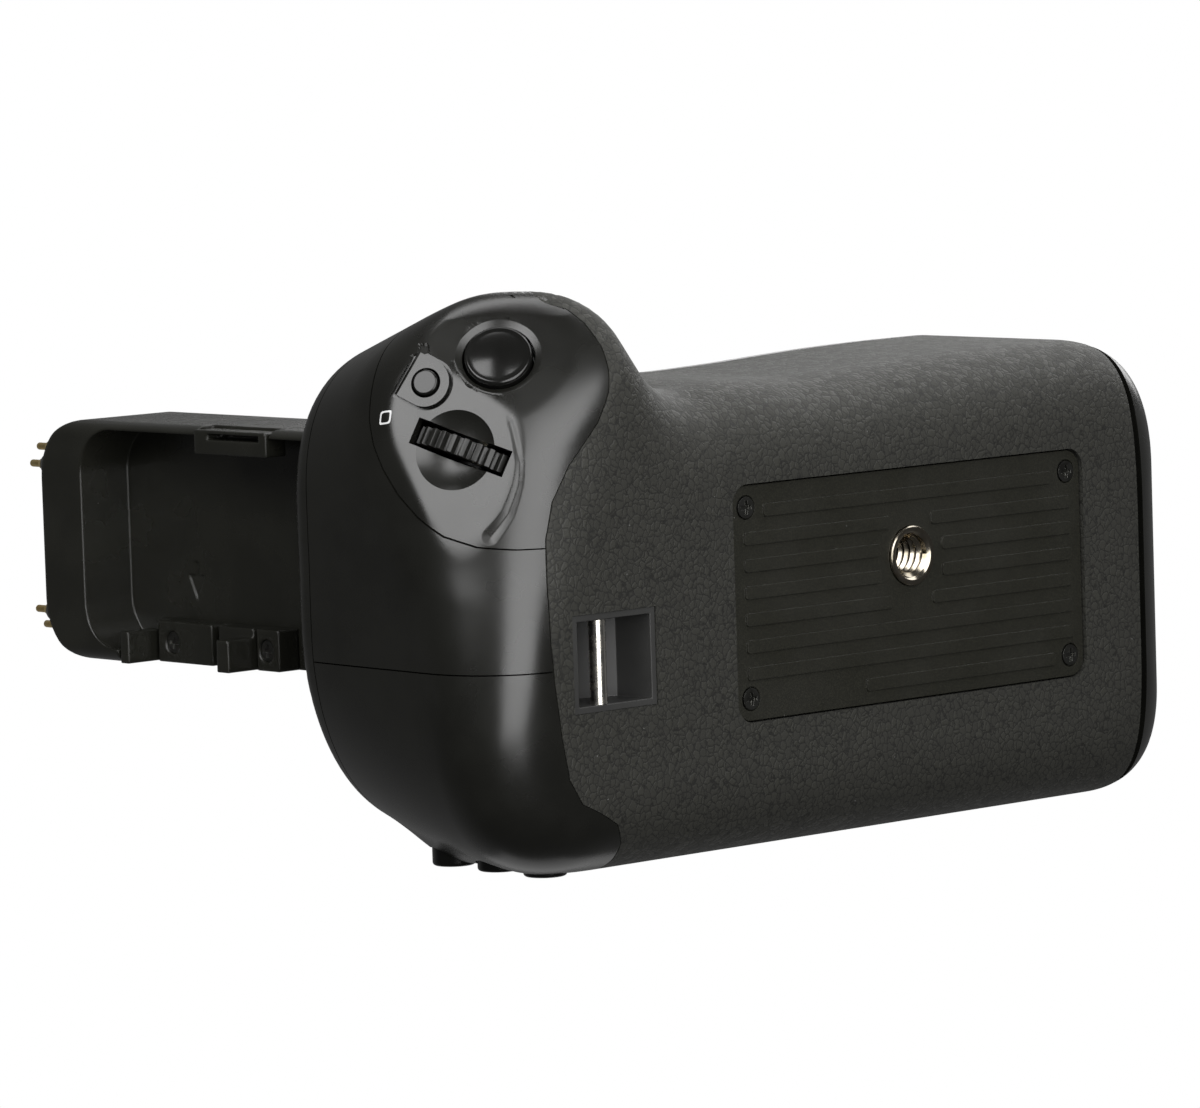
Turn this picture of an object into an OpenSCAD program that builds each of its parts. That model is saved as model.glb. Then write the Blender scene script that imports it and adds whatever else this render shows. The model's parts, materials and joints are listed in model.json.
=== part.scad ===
// Battery grip for a mid-size camera body: moulded covers, a battery tray, a mounting drive and its controls.
// X runs along the grip towards the tray end, Y towards the rear and Z up to the camera.
// The tripod socket axis is the Z axis and the base lies at Z 0.

/* [Body] */
// Shutter end, from the socket axis
body_left = 83.5; // [80:0.5:90]
// Tray end, from the socket axis
body_right = 59; // [57:0.5:66]
// Front wall, from the socket axis
body_front = 28.9; // [28:0.1:33]
// Rear wall, from the socket axis
body_rear = 41.5; // [41:0.1:46]
// Top face that meets the camera
body_top = 45; // [44.5:0.1:50]
// Moulded wall thickness
wall = 2.4; // [1.8:0.1:2.6]
// Reach of the hand grip nose past the front wall
nose_reach = 15.9; // [13:0.1:18]
// Rounding of the long bottom edges
edge_round = 14; // [11:0.5:16]
// Height of the top cover's rim
rim_height = 4; // [3.5:0.1:5]
// Open joint between two covers
seam_gap = 0.2; // [0.1:0.05:0.3]

/* [Stalk] */
// Stalk width across the grip
stalk_width = 36.5; // [35.5:0.5:38]
// Stalk thickness along the grip
stalk_depth = 20.8; // [19:0.1:22]
// Stalk tip above the base
stalk_top = 109.5; // [105:0.5:116]
// Depth of the open channel in the stalk
channel_depth = 9.3; // [8:0.1:10]
// Thickness of the tip block
tip_block = 9.5; // [9:0.5:12]
// Spring pin tip diameter
pin_tip_d = 1.6; // [1.2:0.1:2]
// Spring pin travel
pin_travel = 1.2; // [0.8:0.1:1.5]

/* [Controls] */
// Shutter button diameter
shutter_d = 9.8; // [8:0.1:10.5]
// Shutter button travel
shutter_travel = 1.5; // [1:0.1:1.6]
// Small round button diameter
area_d = 3.8; // [3:0.1:4.4]
// Travel of the small buttons
button_travel = 0.7; // [0.5:0.1:0.8]
// Rear button diameter
rear_button_d = 6.4; // [5:0.1:7]
// Control dial radius
dial_r = 9.6; // [9:0.1:10]
// Control dial width
dial_width = 2.7; // [2.4:0.1:3.2]
// Teeth on the control dial
dial_teeth = 30; // [24:1:36]
// Axle diameter of the dial
axle_d = 2.4; // [2:0.1:2.8]
// Power switch travel
switch_travel = 4; // [3:0.1:5]

/* [Base] */
// Base plate length
plate_length = 72.5; // [66:0.5:76]
// Base plate width
plate_width = 34.4; // [32:0.1:36]
// Base plate thickness
plate_thick = 2; // [1.8:0.1:2.4]
// Rows of raised ribs on the base plate
rib_rows = 8; // [6:1:9]
// Height of the ribs
rib_height = 0.3; // [0.2:0.05:0.4]
// Tripod thread minor diameter
socket_minor = 5.2; // [5:0.05:5.35]
// Tripod insert outside diameter
insert_d = 8.9; // [8.5:0.1:9.3]
// Hand strap bar diameter
bar_d = 2.5; // [2.2:0.1:3]

/* [Tray] */
// Battery length across the grip
cell_length = 56.8; // [54:0.1:57]
// Battery width along the grip
cell_width = 38.4; // [36:0.1:38.8]
// Battery thickness
cell_thick = 21; // [19:0.1:21.2]
// Clearance around a battery in its bay
cell_room = 0.2; // [0.1:0.05:0.3]
// Tray wall thickness
tray_wall = 1.4; // [1.2:0.1:1.5]
// Length of the tray's end cap
cap_length = 9.9; // [9:0.1:12]
// Latch knob diameter
knob_d = 15; // [13:0.5:17]
// Running clearance of sliding pieces
slide_gap = 0.35; // [0.3:0.05:0.45]

/* [Drive] */
// Camera screw major diameter
screw_d = 6.35; // [6.3:0.05:6.4]
// Camera screw length above the top face
screw_reach = 4.8; // [4:0.1:5.5]
// Gear module of the mounting drive
gear_module = 1.25; // [1.2:0.05:1.3]
// Radial clearance of a turning fit
turn_gap = 0.05; // [0.03:0.01:0.08]

/* [Hidden] */
$fn = 48;
far = 220;
// Front wall, which moves out with a longer battery
standard_length = 56.8;
front_face = body_front + cell_length - standard_length;
// Cap and tray chain along the grip
cap_x = body_right - cap_length;
end_wall_x = cap_x - 0.3;
end_wall = 2.5;
bay_w = cell_width + 2 * cell_room;
bay_l = cell_length + 2 * cell_room;
tongue_x = cap_x - 5.5;
bay2_x = tongue_x - 1.8 - bay_w;
bay1_x = bay2_x - 2 - bay_w;
tray_x = bay1_x - 1.8;
tray_y = body_rear - 4.7 - bay_l - 2 * (tray_wall - 0.2);
tray_l = bay_l + 2 * (tray_wall - 0.2);
tray_z = 10.8;
tray_h = cell_thick + 2;
tray_mid = tray_y + tray_l / 2;
sleeve_wall = 1;
sleeve_x = tray_x - slide_gap - 1.4;
sleeve_y = tray_y - slide_gap - sleeve_wall;
sleeve_l = tray_l + 2 * (slide_gap + sleeve_wall);
sleeve_z = tray_z - slide_gap - 1.2;
sleeve_top = tray_z + tray_h + slide_gap + 1.2;
// Parting plane under the top cover
part_z = body_top - rim_height;
// Stalk box
stalk_x = -body_left + 5.5;
stalk_y = -22.5;
channel_wall = 1.2;
channel_round = 7;
rear_open = 47.6;
stalk_back = stalk_x + stalk_depth;
channel_top = stalk_top - tip_block;
pin_x = stalk_x + 2.6;
pin_shank_d = pin_tip_d + 0.5;
pin_bore_d = pin_shank_d + 2 * turn_gap;
pin_pitch = pin_bore_d + 0.3;
pin_ys = [for (y = [4.7, 29.6]) for (i = [0, 1]) stalk_y + y + i * pin_pitch];
pin_back = 1.4;
pin_xs = [pin_x + pin_back, pin_x, pin_x, pin_x + pin_back];
pin_rise = 5.6;
pin_low = 7.6;
shank_h = 4.2;
boss_d = 4.4;
boss_h = 1.6;
boss_seat = 3.2;
// Door bracket on the channel floor: heights above the top face
bracket_low = 15.6;
bracket_high = 44.1;
plate_in = 5.3;
bracket_w = 6.2;
bracket_screws = [18.5, 40.7];
bracket_slots = [[20.7, 0.7], [29.6, 1.7]];
hooks = [[21.4, 2.7], [45.2, 1.9]];
hook_in = 0.3;
clip_low = 10.5;
clip_long = 16.7;
clip_deep = 3.9;
// Control places, each a point on the surface with its outward direction
shutter_at = [-body_left + 14.1, -front_face - 5.1, 12.85];
shutter_out = [-0.588, -0.582, -0.561];
area_at = [-body_left + 6.1, -front_face - 1.6, 19.4];
area_out = [-0.815, -0.317, -0.484];
pad_along = [-0.33, -0.433, 0.839];
pad_r = area_d / 2 + 1.6;
pad_long = 3.7;
pad_rise = 0.5;
dial_at = [-body_left + 6.5, -front_face + 7.3, 13];
dial_out = [-0.815, -0.317, -0.484];
dial_along = [0.389, 0.32, -0.864];
dial_sink = dial_r - 1.3;
dial_gap = 0.65;
flat_edge = 0.3;
dish_r = 12;
dish_up = 10.45;
rear_zs = [32.5, 22.5, 12.5];
rear_x = -body_left + 19.5;
rear_y = body_rear - 1.5;
board_y = body_rear - 10.2;
switch_x = -body_left + 33.5;
switch_z = 30;
// Plate and strap pocket
plate_y = 4.1;
plate_seat = 0.25;
pad_z = plate_seat + plate_thick + wall;
socket_deep = pad_z + 2.8;
screw_px = plate_length / 2 - 2.85;
screw_py = plate_width / 2 - 3.2;
pocket_x = -body_left + 16.1;
pocket_w = 14.1;
pocket_y = 3.7;
pocket_l = 12.2;
pocket_deep = 9.4;
bar_x = pocket_x + 4.9;
bar_z = 1.45;
// Mounting drive
wheel_teeth = 18;
screw_teeth = 30;
shoulder_d = screw_d + 0.9;
wheel_pitch = gear_module * wheel_teeth / 2;
screw_pitch = gear_module * screw_teeth / 2;
wheel_y = wheel_pitch + screw_pitch;
wheel_r = body_rear - wheel_y + 1.7;
gear_z = sleeve_top + 0.5;
gear_h = 1.8;
knob_z = tray_z + tray_h / 2;
// Pin that finds the hole beside the camera's socket
locator_x = -18;
locator_d = 3;
locator_seat = 1.6;
locator_reach = 1.8;

function smax(a, b, r) = max(a, b) + pow(max(r - abs(a - b), 0), 2) / (4 * r);
function smin(a, b, r) = -smax(-a, -b, r);
function unit(v) = v / norm(v);
function off(p, n, q) = unit(n) * (p - q);

// Signed depth of a point in the moulded body: flat facets joined by soft roundings
function front_off(p) = -p[1] - front_face + 0.0016 * pow(max(0, -4 - p[0]), 2);
function corner_off(p) = off(p, [-0.469, 0.797, 0.382], [8.5 - body_left, body_rear - 10, body_top - 2]);
function slab_off(p) = smax(smax(front_off(p), p[0] - body_right, 16), corner_off(p), 15);
function grip_off(p) = off(p, [-0.12, -0.93, 0.34], [19.5 - body_left, -front_face - nose_reach, 16]);
function flank_off(p) = off(p, [0.8, -0.6, 0], [33.2 - body_left, -front_face - 6.6, 10]);
function nose_off(p) = smax(smax(grip_off(p), flank_off(p), 11), p[1] - 10, 2);
function thumb_side(p) = off(p, [-0.95, 0, 0.3], [13 - body_left, 36, 36]);
function thumb_top(p) = smax(thumb_side(p), p[2] - body_top + 4, 4);
function thumb_end(p) = smax(smax(thumb_top(p), 16 - p[2], 8), p[0] + body_left - 53.5, 6);
function thumb_off(p) = smax(thumb_end(p), 10 - p[1], 2);
function joined_off(p) = smin(smin(slab_off(p), nose_off(p), 7), thumb_off(p), 2.5);
function rear_off(p) = smax(joined_off(p), p[1] - body_rear, 13);
function end_off(p) = smax(rear_off(p), off(p, [-1, 0, 0.03], [-body_left, 0, 12]), 18);
function base_off(p) = smax(end_off(p), -p[2], edge_round);
function dial_plane(p) = off(p, [-0.72, -0.35, -0.6], [4.5 - body_left, -front_face + 6.9, 11]);
function dial_facet(p) = smax(base_off(p), dial_plane(p), 10);
function shutter_plane(p) = off(p, [-0.51, -0.62, -0.6], [12.5 - body_left, -front_face - 5.4, 12]);
function shutter_facet(p) = smax(dial_facet(p), shutter_plane(p), 4);
// Flats on which the dial and the shutter button sit, with narrow edges
function dial_flat(p) = smax(shutter_facet(p), off(p, dial_out, dial_at), flat_edge);
function shutter_flat(p) = smax(dial_flat(p), off(p, shutter_out, shutter_at), flat_edge);
function form(p) = smax(shutter_flat(p), p[2] - body_top, 3);

// Directions in which the outline is traced: fans at both ends, parallel lines between them
end_fan = [90, 78, 70, 64, 59, 54, 48, 40, 28, 12, -6, -22, -36, -45, -52, -58, -63, -69, -77];
front_run = [38, 24, 10, -4, -17, -28, -37, -43];
nose_fan = [-60 : -5 : -170];
rear_run = [-46, -36, -18, 0, 20];
spokes = concat(
  [for (a = end_fan) [body_right - 21, 7, a]],
  [for (x = front_run) [x, 0, -90]],
  [for (a = nose_fan) [23.5 - body_left, -4, a]],
  [for (i = [0 : 17]) [23.5 - body_left + 6 * i / 17, -4 + 20 * i / 17, -178 - 87 * i / 17]],
  [for (x = rear_run) [x, 7, 90]]);
low_steps = [0.02, 0.3, 0.9, 1.9, 3.3, 5, 7, 9.2, 11.6, 14.2, 17, 20];
top_steps = [21.5, 18, 14.5, 11, 7.8, 5, 3, 1.6, 0.6, 0.02];
outer_steps = concat(low_steps, [for (t = top_steps) body_top - t]);
inner_low = [wall + 0.02, 3.4, 5, 8, 12, 18, 26];
inner_steps = concat(inner_low, [body_top - 11, body_top - 5, body_top - wall - 0.02]);

function reach(s, d, z, level, lo, hi, n) =
  n == 0 ? (lo + hi) / 2 :
  let (m = (lo + hi) / 2)
  form([s[0] + d[0] * m, s[1] + d[1] * m, z]) < level
    ? reach(s, d, z, level, m, hi, n - 1)
    : reach(s, d, z, level, lo, m, n - 1);
function outline(z, level) = [for (s = spokes)
  let (d = [cos(s[2]), sin(s[2])])
  let (r = reach(s, d, z, level, 0, 75, 17))
  [s[0] + d[0] * r, s[1] + d[1] * r]];

// Closed skin through the outlines at the given heights
module skin(steps, level) {
  n = len(spokes);
  m = len(steps);
  rings = [for (z = steps) outline(z, level)];
  zs = [for (j = [0 : m - 1]) j == 0 ? steps[j] - 0.02 : (j == m - 1 ? steps[j] + 0.02 : steps[j])];
  points = concat(
    [for (j = [0 : m - 1]) for (i = [0 : n - 1]) [rings[j][i][0], rings[j][i][1], zs[j]]],
    [[-44, 10, zs[0]], [-44, 10, zs[m - 1]]]);
  faces = concat(
    [for (i = [0 : n - 1]) [m * n, (i + 1) % n, i]],
    [for (i = [0 : n - 1]) [m * n + 1, (m - 1) * n + i, (m - 1) * n + (i + 1) % n]],
    [for (j = [0 : m - 2]) for (i = [0 : n - 1]) [j * n + i, j * n + (i + 1) % n, (j + 1) * n + i]],
    [for (j = [0 : m - 2]) for (i = [0 : n - 1])
      [j * n + (i + 1) % n, (j + 1) * n + (i + 1) % n, (j + 1) * n + i]]);
  polyhedron(points, faces);
}

module body_skin() {
  skin(outer_steps, 0);
}

module cavity_skin() {
  skin(inner_steps, -wall);
}

// Frame on a surface point: Z out of the face, X along the given direction
module on_face(at, out, along = [0, 0, 1]) {
  n = unit(out);
  t = unit(along - (along * n) * n);
  b = cross(n, t);
  multmatrix([
    [t[0], b[0], n[0], at[0]],
    [t[1], b[1], n[1], at[1]],
    [t[2], b[2], n[2], at[2]],
    [0, 0, 0, 1]])
    children();
}

// Plan line between the grained housing and the smooth end covers, from the shutter end
seam_line = [
  [15.5, -60], [16.6, -44.5], [18.1, -41.8], [19.7, -41.6], [21.4, -41.4], [22.9, -41], [24.3, -40.2],
  [25.2, -38.2], [25.6, -34.8], [25.2, -31.7], [24.2, -28.5], [21.8, -24.4],
  [16.5, -18.6], [13.4, -13.7], [11.9, -8.5], [11.2, -1], [11, 6], [11.4, 12], [12.5, 20],
  [13.8, 26], [16.3, 29.8], [20, 31.6], [23.2, 33.5], [25, 36.5], [26, 41], [26.4, 60]];

module cover_side(gap) {
  translate([0, 0, -20])
    linear_extrude(far)
      polygon(concat(
        [for (q = seam_line) [q[0] - body_left + gap, q[1]]],
        [[-far, 60], [-far, -60]]));
}

// Side line of the control cover, seen from the shutter end
control_line = [
  [-60, 30.5], [-35.5, 29.3], [-31.3, 28.2], [-25.5, 26.9], [-21.8, 25.4], [-18.5, 23.4],
  [-15, 20.4], [-11.9, 16.6], [-9.3, 12.2], [-7.8, 7.6], [-7.3, 3.5], [-7.2, -20]];

module control_side(gap) {
  translate([-far, gap, gap])
    rotate([90, 0, 90])
      linear_extrude(far)
        polygon(concat(control_line, [[-60, -20]]));
}

module below_rim() {
  translate([-far, -far, -20])
    cube([2 * far, 2 * far, part_z - seam_gap + 20]);
}

module slab_x(x0, x1) {
  translate([x0, -far / 2, -20])
    cube([x1 - x0, far, far]);
}

module round_box(size, r, sides = $fn) {
  translate([r, r, 0])
    linear_extrude(size[2])
      offset(r = r, $fn = sides)
        square([size[0] - 2 * r, size[1] - 2 * r]);
}

module cross_recess(w, h) {
  translate([-w / 2, -w / 7, 0])
    cube([w, w / 3.5, h]);
  translate([-w / 7, -w / 2, 0])
    cube([w / 3.5, w, h]);
}

// Screw with its head face at the origin, pointing up into the part
module cross_screw(head_d, head_h, shank_d, length) {
  difference() {
    union() {
      cylinder(d = head_d, h = head_h);
      cylinder(d = shank_d, h = length);
    }
    translate([0, 0, -0.01])
      cross_recess(head_d * 0.62, head_h * 0.6);
  }
}

module gear_teeth(teeth, pitch_r) {
  root = pitch_r - 1.25 * gear_module;
  tip = pitch_r + 0.9 * gear_module;
  step = 360 / teeth;
  polygon([for (i = [0 : teeth - 1]) for (q = [[root, -0.32], [tip, -0.105], [tip, 0.105], [root, 0.32]])
    [q[0] * cos(step * (i + q[1])), q[0] * sin(step * (i + q[1]))]]);
}

module lower_housing() {
  color([0.16, 0.16, 0.16])
    difference() {
      intersection() {
        body_skin();
        below_rim();
        slab_x(-far / 2, end_wall_x);
      }
      cover_side(seam_gap);
      difference() {
        cavity_skin();
        slab_x(end_wall_x - end_wall, far);
        // Thick floor that carries the base plate
        translate([-plate_length / 2 - wall, plate_y - plate_width / 2 - wall, -1])
          cube([plate_length + 2 * wall, plate_width + 2 * wall, pad_z + 1]);
      }
      // Mouth for the tray
      translate([0, tray_y - slide_gap, tray_z - slide_gap])
        cube([far, tray_l + 2 * slide_gap, tray_h + 2 * slide_gap]);
      // Relief for the tray sleeve
      translate([sleeve_x - 0.1, sleeve_y - 0.1, sleeve_z - 0.1])
        cube([end_wall_x - end_wall - sleeve_x + 0.1, sleeve_l + 0.2, sleeve_top - sleeve_z + 0.2]);
      // Seat and well of the base plate
      translate([-plate_length / 2 - 0.25, plate_y - plate_width / 2 - 0.25, -1])
        round_box([plate_length + 0.5, plate_width + 0.5, plate_thick + plate_seat + 1], 3);
      cylinder(d = insert_d + 0.1, h = 9);
      for (sx = [-1, 1])
        for (sy = [-1, 1])
          translate([sx * screw_px, plate_y + sy * screw_py, 0])
            cylinder(d = 1.7, h = 9);
      // Window for the strap well
      translate([pocket_x - 1, pocket_y - 1, -1])
        cube([pocket_w + 2, pocket_l + 2, 9]);
      // Slot for the thumb wheel
      translate([0, wheel_y, gear_z - 0.4])
        cylinder(r = wheel_r + 0.5, h = 12);
      // Slot for the power switch
      translate([switch_x - 3.4, body_rear - 8, switch_z - 2])
        cube([6.8 + switch_travel, 20, 4]);
    }
}

module top_cover() {
  color([0.2, 0.2, 0.2])
    difference() {
      intersection() {
        body_skin();
        slab_x(-far / 2, end_wall_x);
        translate([-far, -far, part_z])
          cube(2 * far);
      }
      difference() {
        cavity_skin();
        slab_x(end_wall_x - end_wall, far);
      }
      // Hole for the camera screw
      translate([0, 0, part_z])
        cylinder(d = shoulder_d + 0.7, h = 20);
      // Slot for the thumb wheel
      translate([0, wheel_y, part_z - 1])
        cylinder(r = wheel_r + 0.5, h = 3);
      // Seat of the wheel axle and of the locating pin
      translate([0, wheel_y, part_z])
        cylinder(d = 4, h = rim_height - 1);
      translate([locator_x, 0, body_top - locator_seat])
        cylinder(d = locator_d + 2 * turn_gap, h = 5);
      // Shallow seat of the stalk
      translate([stalk_x, stalk_y, body_top - 0.6])
        round_box([stalk_depth, stalk_width, 5], 2.5);
    }
}

// Raised pad round the small button, open towards the side panel
module button_pad(grow, low, high) {
  on_face(area_at, area_out, pad_along)
    translate([0, 0, low])
      linear_extrude(high - low)
        union() {
          circle(r = pad_r + grow);
          translate([0, -pad_r - grow])
            square([pad_long + grow, 2 * (pad_r + grow)]);
        }
}

module control_cover() {
  color([0.24, 0.24, 0.25])
    difference() {
      union() {
        difference() {
          intersection() {
            body_skin();
            cover_side(0);
            control_side(0);
          }
          cavity_skin();
          button_pad(0.45, -0.7, 8);
        }
        difference() {
          button_pad(0, -1.6, pad_rise);
          on_face(area_at, area_out, pad_along)
            translate([pad_long - 0.7, -8, pad_rise])
              rotate([0, 48, 0])
                cube([6, 16, 6]);
        }
        // Lugs that carry the dial
        for (s = [-1, 1])
          on_face(dial_at, dial_out, dial_along)
            translate([-2.6, s * (dial_width / 2 + dial_gap + 0.8) - 0.8, -dial_sink - 2.6])
              cube([5.2, 1.6, dial_sink + 0.9]);
        // Posts of the switch boards
        for (s = [-1, 1])
          on_face(shutter_at, shutter_out)
            translate([s * 7.4, 0, -9.6])
              cylinder(d = 2.4, h = 8);
        for (s = [-1, 1])
          on_face(area_at, area_out)
            translate([s * 3.9, 0, -7])
              cylinder(d = 1.6, h = 5.6);
      }
      // Dish and bore of the shutter button
      on_face(shutter_at, shutter_out)
        translate([0, 0, 13.2])
          sphere(r = 14.6);
      on_face(shutter_at, shutter_out)
        translate([0, 0, -5.4])
          cylinder(d = shutter_d + 0.7, h = 20);
      on_face(shutter_at, shutter_out)
        translate([0, 0, -8])
          cylinder(d = shutter_d + 2.2, h = 5);
      // Bore of the small button
      on_face(area_at, area_out)
        translate([0, 0, -4.6])
          cylinder(d = area_d + 0.6, h = 20);
      // Dish and slot of the dial
      on_face(dial_at, dial_out, dial_along)
        translate([-0.6, -0.65, dish_up])
          sphere(r = dish_r);
      on_face(dial_at, dial_out, dial_along)
        translate([-7.6, -dial_width / 2 - dial_gap, -5])
          cube([15.2, dial_width + 2 * dial_gap, 20]);
      on_face(dial_at, dial_out, dial_along)
        translate([0, 0, -dial_sink])
          rotate([90, 0, 0])
            cylinder(r = dial_r + 0.4, h = dial_width + 2 * dial_gap, center = true);
      on_face(dial_at, dial_out, dial_along)
        translate([0, 0, -dial_sink])
          rotate([90, 0, 0])
            cylinder(d = axle_d, h = 30, center = true);
    }
}

module side_panel() {
  color([0.22, 0.22, 0.22])
    difference() {
      intersection() {
        body_skin();
        cover_side(0);
        below_rim();
        translate([-far, -far, -20])
          cube([far, far + 10.4 - seam_gap, far]);
      }
      control_side(seam_gap);
      cavity_skin();
    }
}

module rear_cover() {
  color([0.24, 0.24, 0.24])
    difference() {
      union() {
        difference() {
          intersection() {
            body_skin();
            cover_side(0);
            below_rim();
            translate([-far, 10.4, -20])
              cube([far, far, far]);
          }
          cavity_skin();
        }
        // Posts of the switch board
        for (z = [17.5, 27.5])
          translate([rear_x, body_rear - 1.2, z])
            rotate([90, 0, 0])
              cylinder(d = 2.4, h = body_rear - 1.2 - board_y);
      }
      for (z = rear_zs)
        translate([rear_x, board_y + 1.2, z])
          rotate([-90, 0, 0])
            cylinder(d = rear_button_d + 0.6, h = 20);
    }
}

module stalk() {
  color([0.12, 0.12, 0.12])
    difference() {
      union() {
        intersection() {
          translate([stalk_x, stalk_y, body_top - 0.6])
            round_box([stalk_depth, stalk_width, stalk_top - body_top + 0.6], 2.5);
          translate([stalk_x - 5, 0, 0])
            rotate([90, 0, 90])
              linear_extrude(stalk_depth + 10)
                translate([stalk_y, 0])
                  offset(r = 9)
                    translate([9, -20])
                      square([stalk_width - 18, stalk_top + 11]);
        }
      }
      // Open channel that stores the camera's battery door
      translate([stalk_x - 5, 0, 0])
        rotate([90, 0, 90])
          linear_extrude(channel_depth + 5)
            translate([stalk_y + channel_wall, 0])
              offset(r = channel_round)
                translate([channel_round, body_top - 20])
                  square([stalk_width - 2 - channel_wall - 2 * channel_round,
                    channel_top - channel_round - body_top + 20]);
      // Rear side that the bracket closes
      translate([stalk_x - 5, stalk_y + stalk_width - 12, body_top])
        cube([channel_depth + 5, 20, rear_open]);
      // Notch in the front wall for the clip
      translate([stalk_x - 1, stalk_y - 1, body_top + clip_low - 0.1])
        cube([clip_deep + 1, 4, clip_long + 0.2]);
      // Moulded arrow in the channel floor
      translate([stalk_x + channel_depth - 1, 0, 84.3])
        rotate([90, 0, 90])
          linear_extrude(1.3)
            polygon([[-1, -0.5], [1, -0.5], [1, -1.9], [4.85, 0], [1, 1.9], [1, 0.5], [-1, 0.5]]);
      // Bores of the spring pins
      for (i = [0 : 3])
        translate([pin_xs[i], pin_ys[i], stalk_top - pin_low - pin_travel - 0.3])
          cylinder(d = pin_bore_d, h = 20);
      // Seats of the contact bosses
      for (i = [0 : 3])
        translate([pin_xs[i], pin_ys[i], stalk_top - boss_seat])
          cylinder(d = boss_d + 2 * turn_gap, h = 20);
    }
}

module stalk_bracket() {
  rear_edge = stalk_y + stalk_width;
  base = 1.2;
  color([0.14, 0.14, 0.14])
    difference() {
      union() {
        translate([stalk_x + plate_in, rear_edge - bracket_w, body_top + bracket_low])
          cube([channel_depth - plate_in, bracket_w, bracket_high - bracket_low]);
        translate([stalk_x + channel_depth - base, rear_edge - bracket_w, body_top + bracket_low])
          cube([base, bracket_w, hooks[1][0] + hooks[1][1] - bracket_low]);
        // Hooks that hold the stored door
        for (h = hooks)
          translate([stalk_x + hook_in, rear_edge - 4.8, body_top + h[0]])
            cube([channel_depth - hook_in, 4.8, h[1]]);
      }
      // Slots that part the screw plates
      for (q = bracket_slots)
        translate([stalk_x - 1, rear_edge - bracket_w - 1, body_top + q[0]])
          cube([channel_depth - base + 1, bracket_w + 2, q[1]]);
      for (z = bracket_screws)
        translate([stalk_x + plate_in - 1, rear_edge - 3, body_top + z])
          rotate([0, 90, 0])
            cylinder(d = 3.4, h = 2);
      for (z = bracket_screws)
        translate([stalk_x + plate_in - 1, rear_edge - 3, body_top + z])
          rotate([0, 90, 0])
            cylinder(d = 1.7, h = 4.8);
    }
}

module bracket_screw(z) {
  color([0.25, 0.25, 0.26])
    translate([stalk_x + plate_in + 0.3, stalk_y + stalk_width - 3, body_top + z])
      rotate([0, 90, 0])
        cross_screw(3.2, 0.7, 1.7, 3.4);
}

module bracket_screw_1() {
  bracket_screw(bracket_screws[0]);
}

module bracket_screw_2() {
  bracket_screw(bracket_screws[1]);
}

module stalk_clip() {
  color([0.14, 0.14, 0.14])
    translate([stalk_x, stalk_y + 0.4, body_top + clip_low])
      difference() {
        cube([clip_deep, 3.6, clip_long]);
        translate([-1, 0.5, 1.7])
          cube([clip_deep, 0.9, 11.9]);
      }
}

module contact_block(first) {
  color([0.1, 0.1, 0.1])
    difference() {
      union() {
        for (i = [first, first + 1])
          translate([pin_xs[i], pin_ys[i], stalk_top - boss_seat])
            cylinder(d = boss_d, h = boss_seat);
        for (i = [first, first + 1])
          translate([pin_xs[i], pin_ys[i], stalk_top])
            cylinder(d1 = boss_d, d2 = boss_d - 1.2, h = boss_h);
      }
      for (i = [first, first + 1])
        translate([pin_xs[i], pin_ys[i], stalk_top - boss_seat - 1])
          cylinder(d = pin_tip_d + 0.3, h = boss_seat + 6);
    }
}

module contact_block_front() {
  contact_block(0);
}

module contact_block_rear() {
  contact_block(2);
}

module contact_pin(i) {
  color([0.85, 0.66, 0.3])
    translate([pin_xs[i], pin_ys[i], stalk_top - pin_low])
      union() {
        cylinder(d = pin_shank_d, h = shank_h);
        cylinder(d = pin_tip_d, h = pin_low + boss_h + pin_travel + 0.4);
        cylinder(d = pin_tip_d * 0.7, h = pin_low + pin_rise);
      }
}

module contact_pin_1() {
  contact_pin(0);
}

module contact_pin_2() {
  contact_pin(1);
}

module contact_pin_3() {
  contact_pin(2);
}

module contact_pin_4() {
  contact_pin(3);
}

module shutter_button() {
  color([0.08, 0.08, 0.08])
    on_face(shutter_at, shutter_out)
      union() {
        translate([0, 0, -3.6])
          cylinder(d = shutter_d, h = 3.6);
        intersection() {
          translate([0, 0, -2])
            cylinder(d = shutter_d, h = 6);
          translate([0, 0, 1.1 - 11.4])
            sphere(r = 11.4);
        }
        translate([0, 0, -4.4])
          cylinder(d = shutter_d + 1.4, h = 0.9);
        translate([0, 0, -5.6])
          cylinder(d = 3, h = 2);
      }
}

module switch_pad(size, stem_d) {
  union() {
    translate([-size[0] / 2, -size[1] / 2, 0])
      cube([size[0], size[1], 1]);
    translate([-2.2, -2.2, 1])
      cube([4.4, 4.4, 1.2]);
    translate([0, 0, 1])
      cylinder(d = stem_d, h = 1.5);
  }
}

module shutter_switch() {
  color([0.1, 0.35, 0.2])
    on_face(shutter_at, shutter_out)
      translate([0, 0, -10.6])
        switch_pad([18, 9], 2.4);
}

module area_button() {
  color([0.08, 0.08, 0.08])
    on_face(area_at, area_out)
      union() {
        translate([0, 0, -3.2])
          cylinder(d = area_d, h = 3.9);
        translate([0, 0, 0.7])
          cylinder(d1 = area_d, d2 = area_d - 0.8, h = 0.3);
      }
}

module area_switch() {
  color([0.1, 0.35, 0.2])
    on_face(area_at, area_out)
      translate([0, 0, -8])
        switch_pad([9.6, 5.4], 2);
}

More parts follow.
